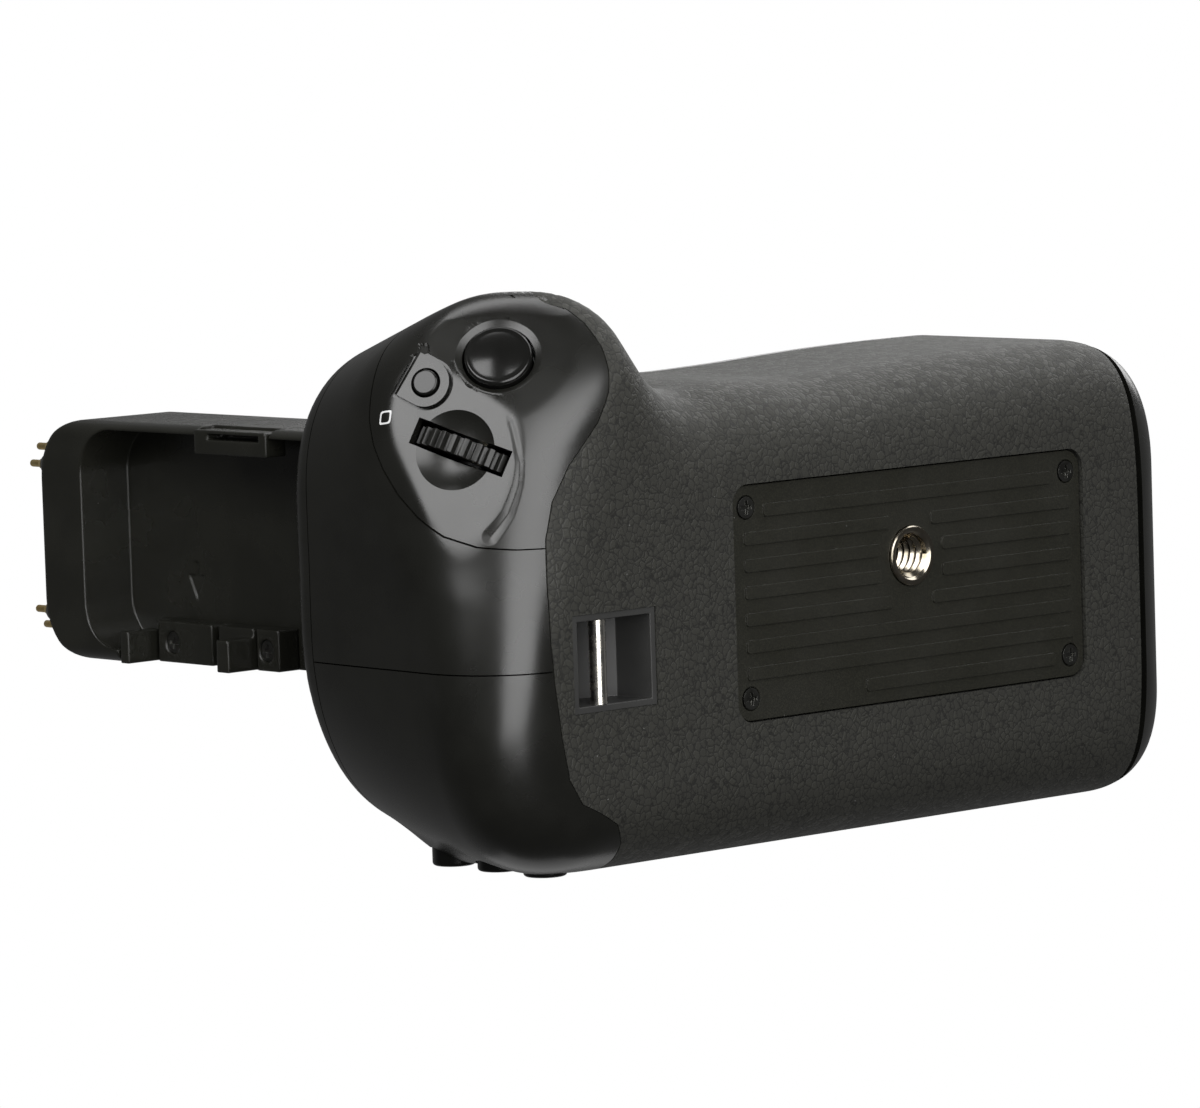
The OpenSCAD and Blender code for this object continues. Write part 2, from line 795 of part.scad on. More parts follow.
module main_dial() {
  step = 360 / dial_teeth;
  deep = 0.9;
  color([0.1, 0.1, 0.1])
    on_face(dial_at, dial_out, dial_along)
      translate([0, 0, -dial_sink])
        rotate([90, 0, 0])
          difference() {
            linear_extrude(dial_width, center = true)
              polygon([for (i = [0 : dial_teeth - 1])
                for (q = [[dial_r - deep, -0.5], [dial_r - deep, -0.32], [dial_r, -0.2], [dial_r, 0.2],
                  [dial_r - deep, 0.32]])
                  [q[0] * cos(step * (i + q[1])), q[0] * sin(step * (i + q[1]))]]);
            cylinder(d = axle_d + 2 * turn_gap, h = 10, center = true);
            for (s = [-1, 1])
              translate([0, 0, s * dial_width / 2])
                difference() {
                  cylinder(r = dial_r - 2.2, h = 1, center = true);
                  cylinder(r = 2.4, h = 2, center = true);
                }
          }
}

module dial_axle() {
  color([0.7, 0.7, 0.72])
    on_face(dial_at, dial_out, dial_along)
      translate([0, 0, -dial_sink])
        rotate([90, 0, 0])
          cylinder(d = axle_d, h = dial_width + 2 * dial_gap + 3.2, center = true);
}

module rear_button(z) {
  color([0.1, 0.1, 0.1])
    translate([rear_x, rear_y, z])
      rotate([-90, 0, 0])
        union() {
          translate([0, 0, -4.6])
            cylinder(d = rear_button_d, h = 5.6);
          translate([0, 0, 1])
            cylinder(d1 = rear_button_d, d2 = rear_button_d - 1, h = 0.4);
        }
}

module rear_button_1() {
  rear_button(rear_zs[0]);
}

module rear_button_2() {
  rear_button(rear_zs[1]);
}

module rear_button_3() {
  rear_button(rear_zs[2]);
}

module rear_switch_board() {
  color([0.1, 0.35, 0.2])
    union() {
      translate([rear_x - 3.6, board_y - 1.2, 7.5])
        cube([8.6, 1.2, 28]);
      for (z = rear_zs)
        translate([rear_x - 2.2, board_y - 0.1, z - 2.2])
          cube([4.4, 3.4, 4.4]);
    }
}

module power_switch() {
  color([0.12, 0.12, 0.12])
    union() {
      translate([switch_x - 3, body_rear - wall - 2, switch_z - 1.6])
        cube([6, wall + 3.2, 3.2]);
      // Flange behind the wall
      translate([switch_x - 4.2, body_rear - wall - 3.1, switch_z - 2.7])
        cube([8.4, 1.4, 5.4]);
      for (x = [-1.8, -0.4, 1])
        translate([switch_x + x, body_rear + 1, switch_z - 1.6])
          cube([0.8, 0.7, 3.2]);
    }
}

// Run of one rib, with rounded corners
module plate_rib(x0, x1, y, w) {
  translate([x0, y, plate_seat])
    round_box([x1 - x0, w, rib_height + 0.1], 0.45, 12);
}

module tripod_plate() {
  pitch = (plate_width - 2.8) / rib_rows;
  rib = 0.48 * pitch;
  half = plate_length / 2;
  long_end = half - 2.2;
  short_end = screw_px - 3.4;
  color([0.15, 0.15, 0.15])
    difference() {
      union() {
        translate([-half, plate_y - plate_width / 2, plate_seat + rib_height])
          round_box([plate_length, plate_width, plate_thick - rib_height], 2.8);
        // Ribs stop short of the screws and part around the socket
        for (i = [0 : rib_rows - 1]) {
          y = plate_y - plate_width / 2 + 2.9 + pitch * i;
          mid = abs(y + rib / 2);
          end = i == 0 || i == rib_rows - 1 ? short_end : long_end;
          start = i == rib_rows - 1 ? 10 : end;
          gap = mid < insert_d / 2 - 0.4 ? insert_d / 2 + 2 : insert_d / 2 - 0.2;
          if (mid < insert_d / 2 + 2.5) {
            plate_rib(-end, -gap, y, rib);
            plate_rib(gap, end, y, rib);
          } else {
            plate_rib(-start, end, y, rib);
          }
        }
      }
      translate([0, 0, -1])
        cylinder(d = insert_d + 0.1, h = 9);
      for (sx = [-1, 1])
        for (sy = [-1, 1])
          translate([sx * screw_px, plate_y + sy * screw_py, 0])
            cylinder(d = 3.6, h = plate_seat + 0.9);
      for (sx = [-1, 1])
        for (sy = [-1, 1])
          translate([sx * screw_px, plate_y + sy * screw_py, 0])
            cylinder(d = 1.7, h = 9);
    }
}

module plate_screw(sx, sy) {
  color([0.3, 0.3, 0.31])
    translate([sx * screw_px, plate_y + sy * screw_py, plate_seat + 0.2])
      cross_screw(3.2, 0.7, 1.7, 6);
}

module plate_screw_1() {
  plate_screw(-1, -1);
}

module plate_screw_2() {
  plate_screw(1, -1);
}

module plate_screw_3() {
  plate_screw(-1, 1);
}

module plate_screw_4() {
  plate_screw(1, 1);
}

module tripod_insert() {
  color([0.75, 0.73, 0.7])
    difference() {
      union() {
        cylinder(d = insert_d, h = socket_deep);
        translate([0, 0, pad_z])
          cylinder(d = insert_d + 3, h = 1.6);
      }
      translate([0, 0, -1])
        cylinder(d = socket_minor, h = 12);
    }
}

module strap_well() {
  color([0.16, 0.16, 0.16])
    difference() {
      union() {
        translate([pocket_x - 1, pocket_y - 1, 0.15])
          cube([pocket_w + 2, pocket_l + 2, pocket_deep + 1.1]);
      }
      // Sloped pocket under the bar
      translate([pocket_x, pocket_y + pocket_l, -1])
        rotate([90, 0, 0])
          linear_extrude(pocket_l)
            polygon([[0, 0], [pocket_w, 0], [pocket_w, 1.8], [pocket_w - 0.9, pocket_deep - 1.8],
              [pocket_w - 7.4, pocket_deep + 1], [0, pocket_deep + 1]]);
      translate([bar_x, pocket_y - 3, bar_z])
        rotate([-90, 0, 0])
          cylinder(d = bar_d, h = 30);
    }
}

module strap_bar() {
  color([0.8, 0.8, 0.8])
    translate([bar_x, pocket_y - 1, bar_z])
      rotate([-90, 0, 0])
        cylinder(d = bar_d, h = pocket_l + 2);
}

module tray_sleeve() {
  color([0.3, 0.3, 0.3])
    difference() {
      translate([sleeve_x, sleeve_y, sleeve_z])
        cube([end_wall_x - end_wall - sleeve_x, sleeve_l, sleeve_top - sleeve_z]);
      translate([sleeve_x + 1.4, sleeve_y + sleeve_wall, sleeve_z + 1.2])
        cube([far, tray_l + 2 * slide_gap, tray_h + 2 * slide_gap]);
      // Slot that lets the latch tongue rise behind the end wall
      translate([tongue_x - 0.4, tray_mid - 9.4, sleeve_top - 4])
        cube([20, 12.6, 8]);
      // Seats of the drive's pivots
      translate([0, wheel_y, sleeve_top - 3])
        cylinder(d = 4, h = 6);
      translate([0, 0, sleeve_top - 3])
        cylinder(d = 4, h = 6);
      // Window for the contacts
      translate([sleeve_x - 1, tray_mid - 9, sleeve_z + 8])
        cube([4, 18, 8]);
    }
}

module sleeve_contacts() {
  color([0.8, 0.65, 0.3])
    union() {
      translate([sleeve_x - 1.2, tray_mid - 11, sleeve_z + 6])
        cube([1.2, 22, 12]);
      for (y = [-6, 0, 6])
        translate([sleeve_x - 0.2, tray_mid + y - 1.2, sleeve_z + 9])
          cube([1.4, 2.4, 6]);
    }
}

module battery_tray() {
  color([0.18, 0.18, 0.18])
    difference() {
      translate([tray_x, tray_y, tray_z])
        cube([cap_x - tray_x, tray_l, tray_h]);
      for (x = [bay1_x, bay2_x])
        translate([x, tray_y + tray_wall - 0.2, tray_z + 1.6])
          cube([bay_w, bay_l, tray_h]);
      // Finger scoops in both side walls
      for (x = [bay1_x, bay2_x])
        translate([x + bay_w / 2, tray_y - 1, tray_z + tray_h + 2])
          rotate([-90, 0, 0])
            cylinder(d = 22, h = tray_l + 2);
      // Room for the latch tongue and its shaft
      translate([tongue_x, tray_mid - 16, tray_z + 5])
        cube([2.9, 21, tray_h]);
      translate([tongue_x, tray_mid, knob_z])
        rotate([0, 90, 0])
          cylinder(d = 5 + 2 * turn_gap, h = 20);
    }
}

module tray_end_cap() {
  color([0.2, 0.2, 0.2])
    difference() {
      union() {
        intersection() {
          body_skin();
          slab_x(cap_x + 1.2, far);
        }
        intersection() {
          cavity_skin();
          slab_x(cap_x, cap_x + 2);
        }
      }
      // Recess and shaft bore of the latch knob
      translate([body_right - 3.4, tray_mid, knob_z])
        rotate([0, 90, 0])
          cylinder(d = knob_d + 1, h = 20);
      translate([cap_x - 5, tray_mid, knob_z])
        rotate([0, 90, 0])
          cylinder(d = 5 + 2 * turn_gap, h = 20);
    }
}

module bay_contact(x) {
  color([0.85, 0.66, 0.3])
    union() {
      translate([x + bay_w / 2 - 8, tray_y + tray_wall - 0.2, tray_z + 1.6])
        cube([16, 0.15, 8]);
      for (s = [-1, 0, 1])
        translate([x + bay_w / 2 + 5 * s - 1.2, tray_y + tray_wall - 0.2, tray_z + 3])
          cube([2.4, 0.2, 5]);
    }
}

module bay_contact_1() {
  bay_contact(bay1_x);
}

module bay_contact_2() {
  bay_contact(bay2_x);
}

module latch_knob() {
  color([0.13, 0.13, 0.13])
    translate([0, tray_mid, knob_z])
      union() {
        translate([body_right - 3, 0, 0])
          rotate([0, 90, 0])
            cylinder(d = knob_d, h = 1.4);
        translate([body_right - 3, -knob_d / 2 + 0.6, -1.4])
          cube([2.8, knob_d - 1.2, 2.8]);
        translate([tongue_x + 0.3, 0, 0])
          rotate([0, 90, 0])
            cylinder(d = 5, h = body_right - 2.6 - tongue_x);
        translate([tongue_x + 0.3, -tray_h / 2 - 2.2, -2])
          cube([2.2, tray_h / 2 + 2.2, 4]);
      }
}

module mounting_wheel() {
  ribs = 44;
  step = 360 / ribs;
  color([0.14, 0.14, 0.14])
    translate([0, wheel_y, gear_z])
      difference() {
        union() {
          linear_extrude(gear_h)
            gear_teeth(wheel_teeth, wheel_pitch);
          translate([0, 0, gear_h])
            cylinder(r = wheel_pitch - 3, h = 0.6);
          translate([0, 0, gear_h + 0.5])
            linear_extrude(part_z + 0.6 - gear_z - gear_h)
              polygon([for (i = [0 : ribs - 1])
                for (q = [[wheel_r - 0.6, -0.3], [wheel_r, -0.15], [wheel_r, 0.15], [wheel_r - 0.6, 0.3]])
                  [q[0] * cos(step * (i + q[1])), q[0] * sin(step * (i + q[1]))]]);
        }
        translate([0, 0, -1])
          cylinder(d = 4 + 2 * turn_gap, h = 20);
      }
}

module wheel_axle() {
  color([0.7, 0.7, 0.72])
    translate([0, wheel_y, sleeve_top - 1.2])
      cylinder(d = 4, h = body_top - 1 - sleeve_top + 1.2);
}

module mounting_screw() {
  crest = screw_d / 2;
  color([0.75, 0.74, 0.72])
    translate([0, 0, gear_z])
      difference() {
        union() {
          rotate([0, 0, 180 / screw_teeth])
            linear_extrude(gear_h)
              gear_teeth(screw_teeth, screw_pitch);
          cylinder(d = 12, h = body_top - wall - 0.4 - gear_z);
          cylinder(d = shoulder_d, h = body_top - gear_z);
          cylinder(r = crest, h = body_top + screw_reach - 0.8 - gear_z);
          translate([0, 0, body_top + screw_reach - 0.8 - gear_z])
            cylinder(r1 = crest, r2 = crest - 0.7, h = 0.8);
        }
        translate([0, 0, -1])
          cylinder(d = 4 + 2 * turn_gap, h = 4);
      }
}

module screw_pivot() {
  color([0.7, 0.7, 0.72])
    translate([0, 0, sleeve_top - 1.2])
      cylinder(d = 4, h = 3.8);
}

module locating_pin() {
  color([0.75, 0.74, 0.72])
    translate([locator_x, 0, body_top])
      union() {
        translate([0, 0, -locator_seat])
          cylinder(d = locator_d - 0.4, h = locator_seat + 0.2);
        cylinder(d = locator_d, h = locator_reach);
        translate([0, 0, locator_reach])
          cylinder(d1 = locator_d, d2 = locator_d - 1.4, h = 0.9);
      }
}

lower_housing();
top_cover();
control_cover();
side_panel();
rear_cover();
stalk();
stalk_bracket();
bracket_screw_1();
bracket_screw_2();
stalk_clip();
contact_block_front();
contact_block_rear();
contact_pin_1();
contact_pin_2();
contact_pin_3();
contact_pin_4();
shutter_button();
shutter_switch();
area_button();
area_switch();
main_dial();
dial_axle();
rear_button_1();
rear_button_2();
rear_button_3();
rear_switch_board();
power_switch();
tripod_plate();
plate_screw_1();
plate_screw_2();
plate_screw_3();
plate_screw_4();
tripod_insert();
strap_well();
strap_bar();
tray_sleeve();
sleeve_contacts();
battery_tray();
tray_end_cap();
bay_contact_1();
bay_contact_2();
latch_knob();
mounting_wheel();
wheel_axle();
mounting_screw();
screw_pivot();
locating_pin();
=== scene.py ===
import json
import math

import bmesh
import bpy
import numpy as np
from mathutils import Matrix, Vector


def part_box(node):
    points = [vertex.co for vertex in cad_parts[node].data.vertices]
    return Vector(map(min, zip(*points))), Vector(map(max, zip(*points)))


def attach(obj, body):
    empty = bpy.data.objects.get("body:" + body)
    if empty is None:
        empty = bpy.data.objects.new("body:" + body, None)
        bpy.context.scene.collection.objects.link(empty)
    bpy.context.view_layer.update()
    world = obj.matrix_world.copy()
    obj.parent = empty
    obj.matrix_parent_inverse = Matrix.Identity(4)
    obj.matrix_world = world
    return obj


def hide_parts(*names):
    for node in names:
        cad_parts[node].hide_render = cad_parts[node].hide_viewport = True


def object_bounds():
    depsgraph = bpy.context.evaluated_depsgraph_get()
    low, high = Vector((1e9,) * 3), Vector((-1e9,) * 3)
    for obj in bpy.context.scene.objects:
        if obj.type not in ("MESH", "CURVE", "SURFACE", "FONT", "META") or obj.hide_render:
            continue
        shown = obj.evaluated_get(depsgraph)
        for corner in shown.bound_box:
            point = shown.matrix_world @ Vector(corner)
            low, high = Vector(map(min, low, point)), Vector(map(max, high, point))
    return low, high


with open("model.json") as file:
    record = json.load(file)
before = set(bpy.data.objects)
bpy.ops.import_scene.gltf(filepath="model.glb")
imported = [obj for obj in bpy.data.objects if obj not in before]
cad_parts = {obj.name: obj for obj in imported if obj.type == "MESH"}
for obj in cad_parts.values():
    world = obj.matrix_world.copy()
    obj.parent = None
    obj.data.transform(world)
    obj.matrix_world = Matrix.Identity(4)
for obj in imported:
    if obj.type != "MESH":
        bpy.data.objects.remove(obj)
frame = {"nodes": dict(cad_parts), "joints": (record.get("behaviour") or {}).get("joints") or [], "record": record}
cadBox = [list(corner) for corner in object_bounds()]
nodes = frame["nodes"]
record = frame["record"]
joints = {joint["name"]: joint for joint in frame["joints"]}
nodeBody = {node: body for body, members in record["behaviour"]["bodies"].items() for node in members}
nodeSlot = {part["node"]: part["material_slot"] for part in record["subparts"]}
mm = 0.001
print("frame loaded,", len(nodes), "nodes")


# Shader helpers

def addNode(tree, kind, inputs=None, **settings):
    node = tree.nodes.new(kind)
    for key, value in settings.items():
        setattr(node, key, value)
    for socket, value in (inputs or {}).items():
        if isinstance(value, bpy.types.NodeSocket):
            tree.links.new(value, node.inputs[socket])
        else:
            node.inputs[socket].default_value = value
    return node


def newGroup(name, inputs, outputs):
    group = bpy.data.node_groups.new(name, "ShaderNodeTree")
    for label, kind, value in inputs:
        socket = group.interface.new_socket(name=label, in_out="INPUT", socket_type=kind)
        socket.default_value = value
    for label, kind in outputs:
        group.interface.new_socket(name=label, in_out="OUTPUT", socket_type=kind)
    return group, addNode(group, "NodeGroupInput"), addNode(group, "NodeGroupOutput")


def placeGroup(tree, group, inputs):
    return addNode(tree, "ShaderNodeGroup", inputs, node_tree=group)


def math2(tree, operation, a, b, clamp=False):
    return addNode(tree, "ShaderNodeMath", {0: a, 1: b}, operation=operation, use_clamp=clamp).outputs[0]


def ramp(tree, value, low, high, toLow=0.0, toHigh=1.0):
    return addNode(tree, "ShaderNodeMapRange", {
        "Value": value, "From Min": low, "From Max": high, "To Min": toLow, "To Max": toHigh,
    }, interpolation_type="SMOOTHSTEP").outputs["Result"]


def millimetres(tree):
    coords = addNode(tree, "ShaderNodeTexCoord").outputs["Object"]
    return addNode(tree, "ShaderNodeVectorMath", {0: coords, "Scale": 1 / mm}, operation="SCALE").outputs[0]


# Leather grain: warped cells with creases between them, drawn out along the grip's Y; the crease mask feeds painted
# shade in the colour
def buildLeatherGrain():
    group, given, out = newGroup("leatherGrain", [
        ("Cell", "NodeSocketFloat", 1.0), ("Stretch", "NodeSocketFloat", 1.3), ("Warp", "NodeSocketFloat", 0.8),
    ], [("Height", "NodeSocketFloat"), ("CreaseShade", "NodeSocketFloat"), ("Tone", "NodeSocketFloat")])
    place = millimetres(group)
    stretch = addNode(group, "ShaderNodeCombineXYZ", {
        "X": given.outputs["Cell"],
        "Y": math2(group, "MULTIPLY", given.outputs["Cell"], given.outputs["Stretch"]),
        "Z": given.outputs["Cell"]}).outputs[0]
    bend = addNode(group, "ShaderNodeTexNoise", {
        "Vector": place, "Scale": 0.75, "Detail": 2.0, "Roughness": 0.6})
    centred = addNode(group, "ShaderNodeVectorMath", {
        0: bend.outputs["Color"], 1: (0.5, 0.5, 0.5)}, operation="SUBTRACT").outputs[0]
    shift = addNode(group, "ShaderNodeVectorMath", {
        0: centred, "Scale": given.outputs["Warp"]}, operation="SCALE").outputs[0]
    moved = addNode(group, "ShaderNodeVectorMath", {0: place, 1: shift}, operation="ADD").outputs[0]
    cellPlace = addNode(group, "ShaderNodeVectorMath", {0: moved, 1: stretch}, operation="DIVIDE").outputs[0]
    edge = addNode(group, "ShaderNodeTexVoronoi", {
        "Vector": cellPlace, "Scale": 1.0, "Randomness": 1.0}, feature="DISTANCE_TO_EDGE").outputs["Distance"]
    cell = addNode(group, "ShaderNodeTexVoronoi", {"Vector": cellPlace, "Scale": 1.0, "Randomness": 1.0})
    tone = addNode(group, "ShaderNodeSeparateColor", {"Color": cell.outputs["Color"]}).outputs[0]
    fine = addNode(group, "ShaderNodeTexNoise", {
        "Vector": cellPlace, "Scale": 4.5, "Detail": 3.0, "Roughness": 0.6}).outputs["Fac"]
    pillow = ramp(group, edge, 0.0, 0.24)
    lifted = math2(group, "MULTIPLY", pillow, ramp(group, tone, 0.0, 1.0, 0.45, 1.0))
    height = math2(group, "ADD", lifted, math2(group, "MULTIPLY", fine, 0.3))
    group.links.new(height, out.inputs["Height"])
    # painted shade mask: 1 in the creases between cells, where the colour is darkened to stand in for shade
    group.links.new(ramp(group, edge, 0.0, 0.1, 1.0, 0.0), out.inputs["CreaseShade"])
    group.links.new(tone, out.inputs["Tone"])
    return group


# Fine moulded speckle of the smooth covers
def buildMouldedSpeckle():
    group, given, out = newGroup("mouldedSpeckle", [("Grain", "NodeSocketFloat", 0.14)],
                                 [("Height", "NodeSocketFloat"), ("Cloud", "NodeSocketFloat")])
    place = millimetres(group)
    scale = math2(group, "DIVIDE", 1.0, given.outputs["Grain"])
    speck = addNode(group, "ShaderNodeTexNoise", {"Vector": place, "Scale": scale, "Detail": 2.0})
    cloud = addNode(group, "ShaderNodeTexNoise", {"Vector": place, "Scale": 0.09, "Detail": 3.0})
    group.links.new(speck.outputs["Fac"], out.inputs["Height"])
    group.links.new(cloud.outputs["Fac"], out.inputs["Cloud"])
    return group


# Sparse pale dust specks
def buildDust():
    group, given, out = newGroup("dustSpecks", [
        ("Spacing", "NodeSocketFloat", 4.0), ("Size", "NodeSocketFloat", 0.05),
        ("Share", "NodeSocketFloat", 0.25),
    ], [("Mask", "NodeSocketFloat")])
    place = millimetres(group)
    scale = math2(group, "DIVIDE", 1.0, given.outputs["Spacing"])
    spots = addNode(group, "ShaderNodeTexVoronoi", {"Vector": place, "Scale": scale, "Randomness": 1.0})
    pick = addNode(group, "ShaderNodeSeparateColor", {"Color": spots.outputs["Color"]}).outputs[1]
    kept = math2(group, "LESS_THAN", pick, given.outputs["Share"])
    near = math2(group, "LESS_THAN", spots.outputs["Distance"], given.outputs["Size"])
    group.links.new(math2(group, "MULTIPLY", kept, near), out.inputs["Mask"])
    return group


# Turning lines of lathe-made metal, as rings along one axis
def buildTurnedLines():
    group, given, out = newGroup("turnedLines", [
        ("Pitch", "NodeSocketFloat", 0.12), ("Axis", "NodeSocketVector", (0, 0, 1)),
    ], [("Height", "NodeSocketFloat"), ("Stain", "NodeSocketFloat")])
    place = millimetres(group)
    along = addNode(group, "ShaderNodeVectorMath", {
        0: place, 1: given.outputs["Axis"]}, operation="DOT_PRODUCT").outputs["Value"]
    turns = math2(group, "DIVIDE", along, given.outputs["Pitch"])
    line = addNode(group, "ShaderNodeTexNoise", {
        "W": turns, "Scale": 1.0, "Detail": 2.0}, noise_dimensions="1D")
    stain = addNode(group, "ShaderNodeTexNoise", {"Vector": place, "Scale": 0.6, "Detail": 3.0})
    group.links.new(line.outputs["Fac"], out.inputs["Height"])
    group.links.new(stain.outputs["Fac"], out.inputs["Stain"])
    return group


# Plain square outline printed on the surface
def buildPrintedFrame():
    group, given, out = newGroup("printedFrame", [
        ("Centre", "NodeSocketVector", (0, 0, 0)), ("Across", "NodeSocketVector", (1, 0, 0)),
        ("Up", "NodeSocketVector", (0, 0, 1)), ("Half", "NodeSocketFloat", 1.0),
        ("Width", "NodeSocketFloat", 0.3), ("Round", "NodeSocketFloat", 0.6), ("Near", "NodeSocketFloat", 3.0),
    ], [("Mask", "NodeSocketFloat")])
    away = addNode(group, "ShaderNodeVectorMath", {
        0: millimetres(group), 1: given.outputs["Centre"]}, operation="SUBTRACT").outputs[0]
    sides = []
    for axis in ("Across", "Up"):
        along = addNode(group, "ShaderNodeVectorMath", {
            0: away, 1: given.outputs[axis]}, operation="DOT_PRODUCT").outputs["Value"]
        sides.append(math2(group, "ABSOLUTE", along, 0.0))
    reach = addNode(group, "ShaderNodeMath", {
        0: sides[0], 1: sides[1], 2: given.outputs["Round"]}, operation="SMOOTH_MAX").outputs[0]
    off = math2(group, "ABSOLUTE", math2(group, "SUBTRACT", reach, given.outputs["Half"]), 0.0)
    near = math2(group, "LESS_THAN", addNode(group, "ShaderNodeVectorMath", {
        0: away}, operation="LENGTH").outputs["Value"], given.outputs["Near"])
    line = math2(group, "LESS_THAN", off, math2(group, "MULTIPLY", given.outputs["Width"], 0.5))
    group.links.new(math2(group, "MULTIPLY", line, near), out.inputs["Mask"])
    return group


leatherGrain = buildLeatherGrain()
mouldedSpeckle = buildMouldedSpeckle()
dustSpecks = buildDust()
turnedLines = buildTurnedLines()
printedFrame = buildPrintedFrame()


def newMaterial(name, roughness, metallic=0.0, ior=1.5):
    material = bpy.data.materials.new(name)
    material.use_nodes = True
    tree = material.node_tree
    shader = tree.nodes["Principled BSDF"]
    shader.inputs["Roughness"].default_value = roughness
    shader.inputs["Metallic"].default_value = metallic
    shader.inputs["IOR"].default_value = ior
    return material, tree, shader


def mixColour(tree, factor, a, b):
    node = addNode(tree, "ShaderNodeMix", {"Factor": factor}, data_type="RGBA")
    for socket, value in ((6, a), (7, b)):
        if isinstance(value, bpy.types.NodeSocket):
            tree.links.new(value, node.inputs[socket])
        else:
            node.inputs[socket].default_value = (*value, 1.0)
    return node.outputs[2]


def bumpInto(tree, shader, height, distance, rounding=0.0):
    bump = addNode(tree, "ShaderNodeBump", {"Height": height, "Distance": distance * mm, "Strength": 1.0})
    if rounding:
        rounded = addNode(tree, "ShaderNodeBevel", {"Radius": rounding * mm}, samples=8)
        tree.links.new(rounded.outputs["Normal"], bump.inputs["Normal"])
    tree.links.new(bump.outputs["Normal"], shader.inputs["Normal"])


# low is painted crease shade, a darker colour put in the creases between grain cells in place of shade; top and pale
# are the cells' own random tone
grainedLook = {"cell": 1.0, "stretch": 1.2, "warp": 0.9, "relief": 0.05, "fine": 0.12, "matt": 0.72, "shiny": 0.62,
               "top": (0.0215, 0.0213, 0.0172), "low": (0.0075, 0.0074, 0.006),
               "pale": (0.029, 0.0288, 0.0235), "dust": (0.12, 0.12, 0.116)}


def grainedPlastic(look):
    material, tree, shader = newMaterial("grainedPlastic", look["shiny"])
    grain = placeGroup(tree, leatherGrain, {
        "Cell": look["cell"], "Stretch": look["stretch"], "Warp": look["warp"]})
    dust = placeGroup(tree, dustSpecks, {"Spacing": 3.2, "Size": 0.035, "Share": 0.3})
    speck = placeGroup(tree, mouldedSpeckle, {"Grain": 0.12})
    tops = mixColour(tree, grain.outputs["Tone"], look["top"], look["pale"])
    # painted shade: the creases between grain cells are darkened towards the low colour
    creaseShaded = mixColour(tree, grain.outputs["CreaseShade"], tops, look["low"])
    dusted = mixColour(tree, dust.outputs["Mask"], creaseShaded, look["dust"])
    tree.links.new(dusted, shader.inputs["Base Color"])
    uneven = ramp(tree, grain.outputs["Tone"], 0.0, 1.0, look["matt"], look["shiny"])
    tree.links.new(uneven, shader.inputs["Roughness"])
    fine = math2(tree, "MULTIPLY", speck.outputs["Height"], look["fine"])
    bumpInto(tree, shader, math2(tree, "ADD", grain.outputs["Height"], fine), look["relief"])
    return material


smoothLook = {"speckle": 0.006, "grain": 0.14, "dust": 0.2, "ior": 1.5, "rounding": 0.0, "frames": (),
              "cloud": 1.25, "dustColour": (0.11, 0.11, 0.11), "print": (0.72, 0.72, 0.72)}


def smoothPlastic(name, colour, roughness, **changes):
    look = {**smoothLook, **changes}
    material, tree, shader = newMaterial(name, roughness, ior=look["ior"])
    speck = placeGroup(tree, mouldedSpeckle, {"Grain": look["grain"]})
    specks = placeGroup(tree, dustSpecks, {"Spacing": 5.0, "Size": 0.02, "Share": look["dust"]})
    lighter = tuple(channel * look["cloud"] for channel in colour)
    base = mixColour(tree, ramp(tree, speck.outputs["Cloud"], 0.35, 0.65), colour, lighter)
    base = mixColour(tree, specks.outputs["Mask"], base, look["dustColour"])
    for mark in look["frames"]:  # plain printed marks
        printed = placeGroup(tree, printedFrame, mark)
        base = mixColour(tree, printed.outputs["Mask"], base, look["print"])
    tree.links.new(base, shader.inputs["Base Color"])
    uneven = ramp(tree, speck.outputs["Cloud"], 0.3, 0.7, roughness - 0.02, roughness + 0.03)
    tree.links.new(uneven, shader.inputs["Roughness"])
    bumpInto(tree, shader, speck.outputs["Height"], look["speckle"], look["rounding"])
    return material


def turnedMetal(name, colour, dark, roughness, axis=(0, 0, 1), pitch=0.1, relief=0.002):
    material, tree, shader = newMaterial(name, roughness, metallic=1.0)
    lines = placeGroup(tree, turnedLines, {"Pitch": pitch, "Axis": axis})
    stained = ramp(tree, lines.outputs["Stain"], 0.42, 0.72)
    tree.links.new(mixColour(tree, stained, colour, dark), shader.inputs["Base Color"])
    uneven = ramp(tree, lines.outputs["Stain"], 0.3, 0.7, roughness * 0.85, roughness * 1.25)
    tree.links.new(uneven, shader.inputs["Roughness"])
    bumpInto(tree, shader, lines.outputs["Height"], relief)
    return material


paintLook = {"grain": 0.2, "relief": 0.03, "flecks": 2.0, "dust": (0.13, 0.13, 0.125)}


def paintedMetal(name, colour, roughness):
    material, tree, shader = newMaterial(name, roughness)
    speck = placeGroup(tree, mouldedSpeckle, {"Grain": paintLook["grain"]})
    specks = placeGroup(tree, dustSpecks, {"Spacing": 3.0, "Size": 0.03, "Share": 0.3})
    lighter = tuple(channel * paintLook["flecks"] for channel in colour)
    base = mixColour(tree, ramp(tree, speck.outputs["Height"], 0.4, 0.7), colour, lighter)
    dusted = mixColour(tree, specks.outputs["Mask"], base, paintLook["dust"])
    tree.links.new(dusted, shader.inputs["Base Color"])
    uneven = ramp(tree, speck.outputs["Cloud"], 0.3, 0.7, roughness - 0.04, roughness + 0.05)
    tree.links.new(uneven, shader.inputs["Roughness"])
    bumpInto(tree, shader, speck.outputs["Height"], paintLook["relief"])
    return material


